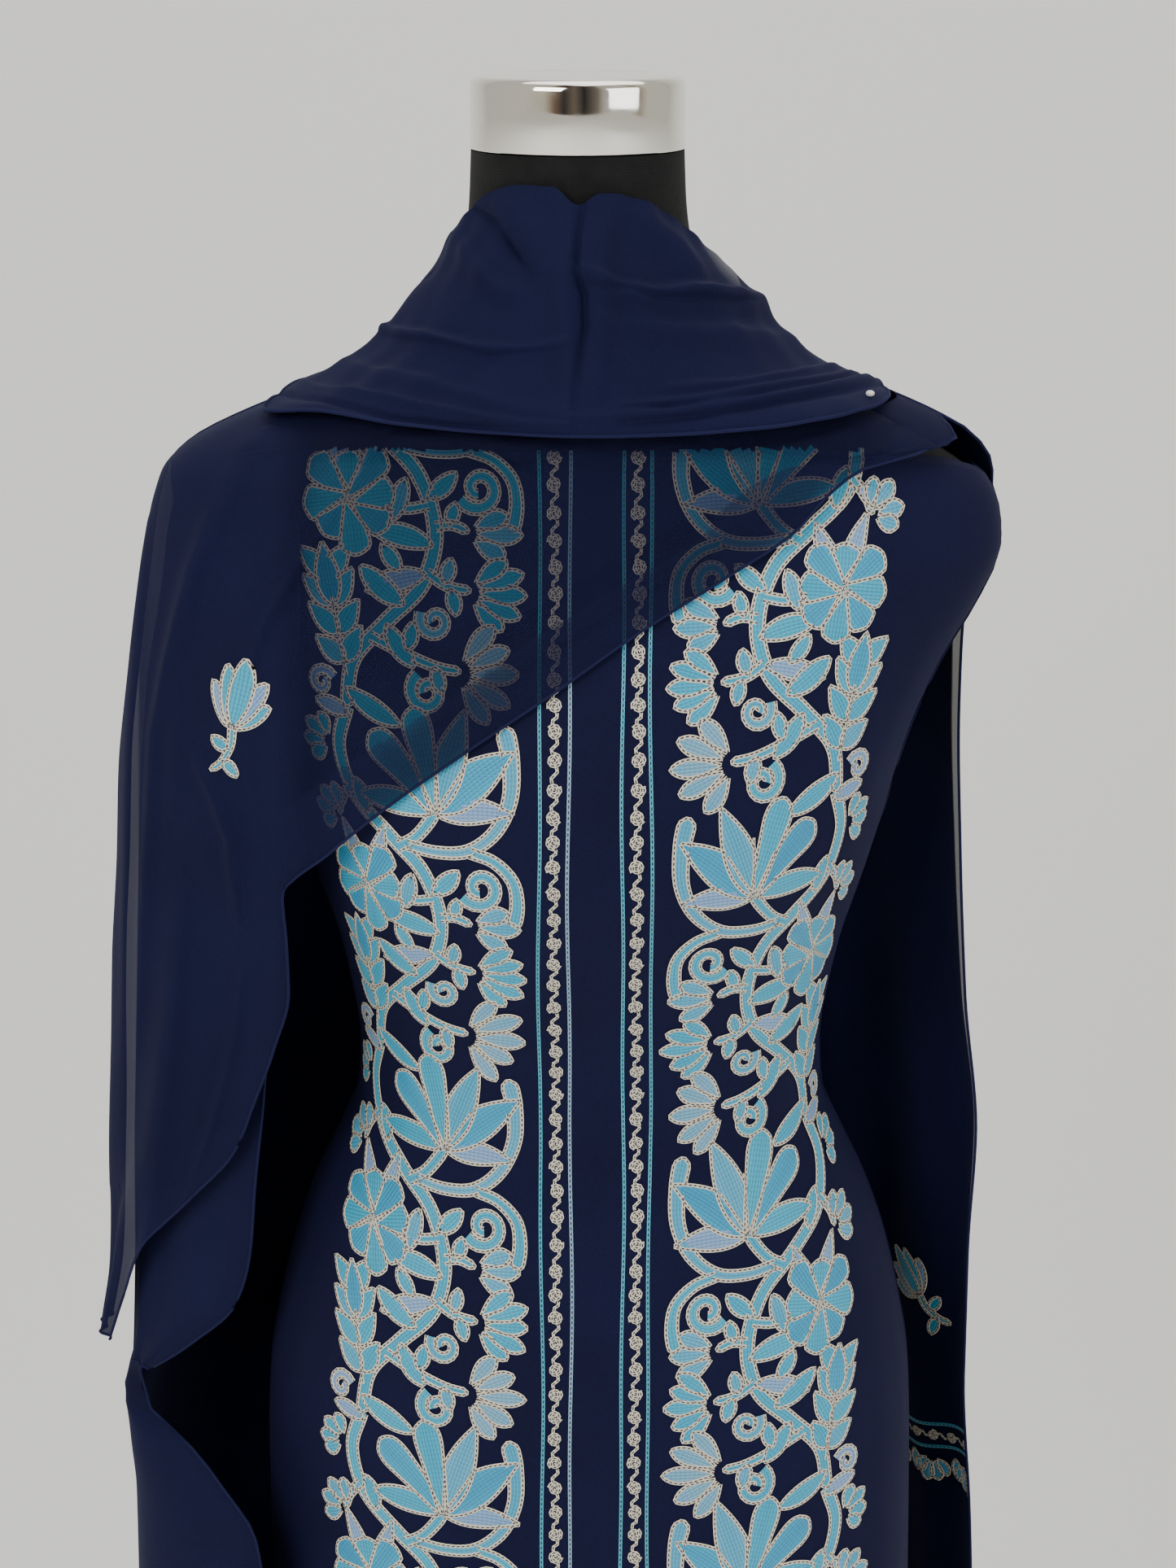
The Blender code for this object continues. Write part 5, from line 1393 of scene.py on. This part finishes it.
def make_salwar():
    z = np.linspace(YOKE[0].z, YOKE[-1].z, 50)[:, None]
    angle = (np.linspace(0, 360, 121) + 180)[None, :]
    surface = section_surface(YOKE)
    points = surface(z, angle) + outward(surface, z + 0 * angle, angle + 0 * z) * (YOKE_GAP + CLOTH)
    piece = grid_object("salwar_belt_and_seat", points, SALWAR_CLOTH, closed=True)
    finish_sheet(piece, points, "gathered", ["dress_form"], "salwar_cloth", "salwar_yoke")
    for name, table, side in (("right", RIGHT_LEG, 1), ("left", LEFT_LEG, -1)):
        z = np.linspace(table[0].z, table[-1].z, 120)[:, None]
        points = leg_points(table, side, z)
        piece = grid_object("salwar_trouser_" + name, points, SALWAR_CLOTH, closed=True)
        finish_sheet(piece, points, "gathered", ["salwar_belt_and_seat"], "salwar_cloth",
                     "salwar_leg_" + name)
        last = table[-1]
        rows = [last._replace(z=CUFF_Z[0] - 0.001), last._replace(z=CUFF_Z[1] + 0.001)]
        z = np.linspace(CUFF_Z[1], CUFF_Z[0], 24)[:, None]
        points = leg_points(rows, side, z)
        piece = grid_object("salwar_ankle_cuff_" + name, points, SALWAR_CLOTH, closed=True, thick=0.001)
        finish_sheet(piece, points, "stretched", ["salwar_trouser_" + name], "salwar_cloth",
                     "salwar_cuff_" + name)


# Stage, light and camera
# Backdrop: half its width, where its curve starts, the curve's radius, its height and its glow, which is
# painted light: the paper shines though it is no lamp
BACKDROP_HALF, CURVE_Y, CURVE_RADIUS, BACKDROP_Z, BACKDROP_PAINTED_GLOW = 6.0, 1.6, 0.8, 4.5, 0.11


def make_stage():
    profile = [(-BACKDROP_HALF, 0.0), (CURVE_Y, 0.0)]
    for k in range(1, 17):
        turn = math.pi / 2 * k / 16
        profile.append((CURVE_Y + CURVE_RADIUS * math.sin(turn),
                        CURVE_RADIUS - CURVE_RADIUS * math.cos(turn)))
    profile.append((CURVE_Y + CURVE_RADIUS, BACKDROP_Z))
    verts = [(x, y, z) for y, z in profile for x in (-BACKDROP_HALF, BACKDROP_HALF)]
    faces = [(2 * k, 2 * k + 1, 2 * k + 3, 2 * k + 2) for k in range(len(profile) - 1)]
    mesh = bpy.data.meshes.new("backdrop")
    mesh.from_pydata(verts, [], faces)
    mesh.shade_smooth()
    material, tree, shader = new_material("pale backdrop with painted glow", (0.90, 0.905, 0.90), 0.9)
    shader.inputs["Specular IOR Level"].default_value = 0.1
    # The paper glows a little, painted light that brightens it and its reflections in the chrome. It is solid
    # from the object's side and clear from its own back, so that no view is blocked
    shader.inputs["Emission Color"].default_value = (1.0, 0.995, 0.98, 1.0)
    shader.inputs["Emission Strength"].default_value = BACKDROP_PAINTED_GLOW
    side = tree.nodes.new("ShaderNodeNewGeometry").outputs["Backfacing"]
    tree.links.new(calc(tree, "SUBTRACT", 1.0, side), shader.inputs["Alpha"])
    mesh.materials.append(material)
    backdrop = bpy.data.objects.new("backdrop", mesh)
    bpy.context.scene.collection.objects.link(backdrop)


def add_light(name, place, target, size, power, colour):
    data = bpy.data.lights.new(name, "AREA")
    data.shape = "RECTANGLE"
    data.size, data.size_y = size
    data.energy = power
    data.color = colour
    made = bpy.data.objects.new(name, data)
    made.location = place
    made.rotation_euler = (Vector(target) - Vector(place)).to_track_quat("-Z", "Y").to_euler()
    bpy.context.scene.collection.objects.link(made)


# Name, place, aim, size, watts and colour of each lamp
LIGHTS = [
    ("key", (-1.6, -2.6, 2.6), (0, 0, 1.1), (1.8, 1.8), 70, (1.0, 0.99, 0.97)),
    ("fill", (2.4, -2.0, 1.9), (0, 0, 1.0), (2.0, 2.0), 36, (0.97, 0.98, 1.0)),
    ("top", (0.2, 0.2, 3.4), (0, 0, 1.0), (2.2, 2.2), 30, (1.0, 1.0, 1.0)),
]
ROOM_STRENGTH = 0.60
# The studio's walls from behind the object, round by its left side and the camera, and back
ROOM_WALLS = [
    (0.00, (0.90, 0.90, 0.88)), (0.24, (0.95, 0.93, 0.87)), (0.34, (1.00, 0.97, 0.88)),
    (0.40, (0.86, 0.80, 0.66)), (0.43, (0.30, 0.20, 0.14)), (0.46, (0.05, 0.05, 0.05)),
    (0.49, (0.24, 0.19, 0.15)), (0.52, (0.04, 0.04, 0.04)), (0.56, (0.28, 0.24, 0.20)),
    (0.58, (0.74, 0.71, 0.63)), (0.66, (0.92, 0.89, 0.81)), (0.69, (0.50, 0.42, 0.32)),
    (0.72, (0.95, 0.92, 0.82)), (1.00, (0.90, 0.90, 0.88)),
]


def make_light_and_camera():
    for name, place, target, size, power, colour in LIGHTS:
        add_light(name, place, target, size, power, colour)
    world = bpy.data.worlds.new("studio")
    bpy.context.scene.world = world
    world.use_nodes = True
    room = world.node_tree
    way = room.nodes.new("ShaderNodeSeparateXYZ")
    room.links.new(room.nodes.new("ShaderNodeTexCoord").outputs["Generated"], way.inputs[0])
    turn = calc(room, "ARCTAN2", way.outputs["X"], calc(room, "MULTIPLY", way.outputs["Y"], -1.0))
    wall = ramp(room, calc(room, "ADD", calc(room, "DIVIDE", turn, 2 * math.pi), 0.5), ROOM_WALLS)
    room.links.new(wall, room.nodes["Background"].inputs["Color"])
    room.nodes["Background"].inputs["Strength"].default_value = ROOM_STRENGTH
    data = bpy.data.cameras.new("camera")
    data.sensor_width = 36.0
    data.lens = 36.0 * CAMERA_FOCAL / PHOTO_HEIGHT
    camera = bpy.data.objects.new("camera", data)
    camera.location = CAMERA_AT
    camera.rotation_euler = (math.radians(90 - CAMERA_PITCH), 0, 0)
    bpy.context.scene.collection.objects.link(camera)
    bpy.context.scene.camera = camera


make_form()
make_kameez("kameez_front_panel", 0.0, FRONT_FOLDS, "kameez_front", make_kameez_embroidery())
make_kameez("kameez_back_panel", 180.0, BACK_FOLDS, "kameez_back")
make_cowl()
make_drapes()
make_salwar()
make_stage()
make_light_and_camera()
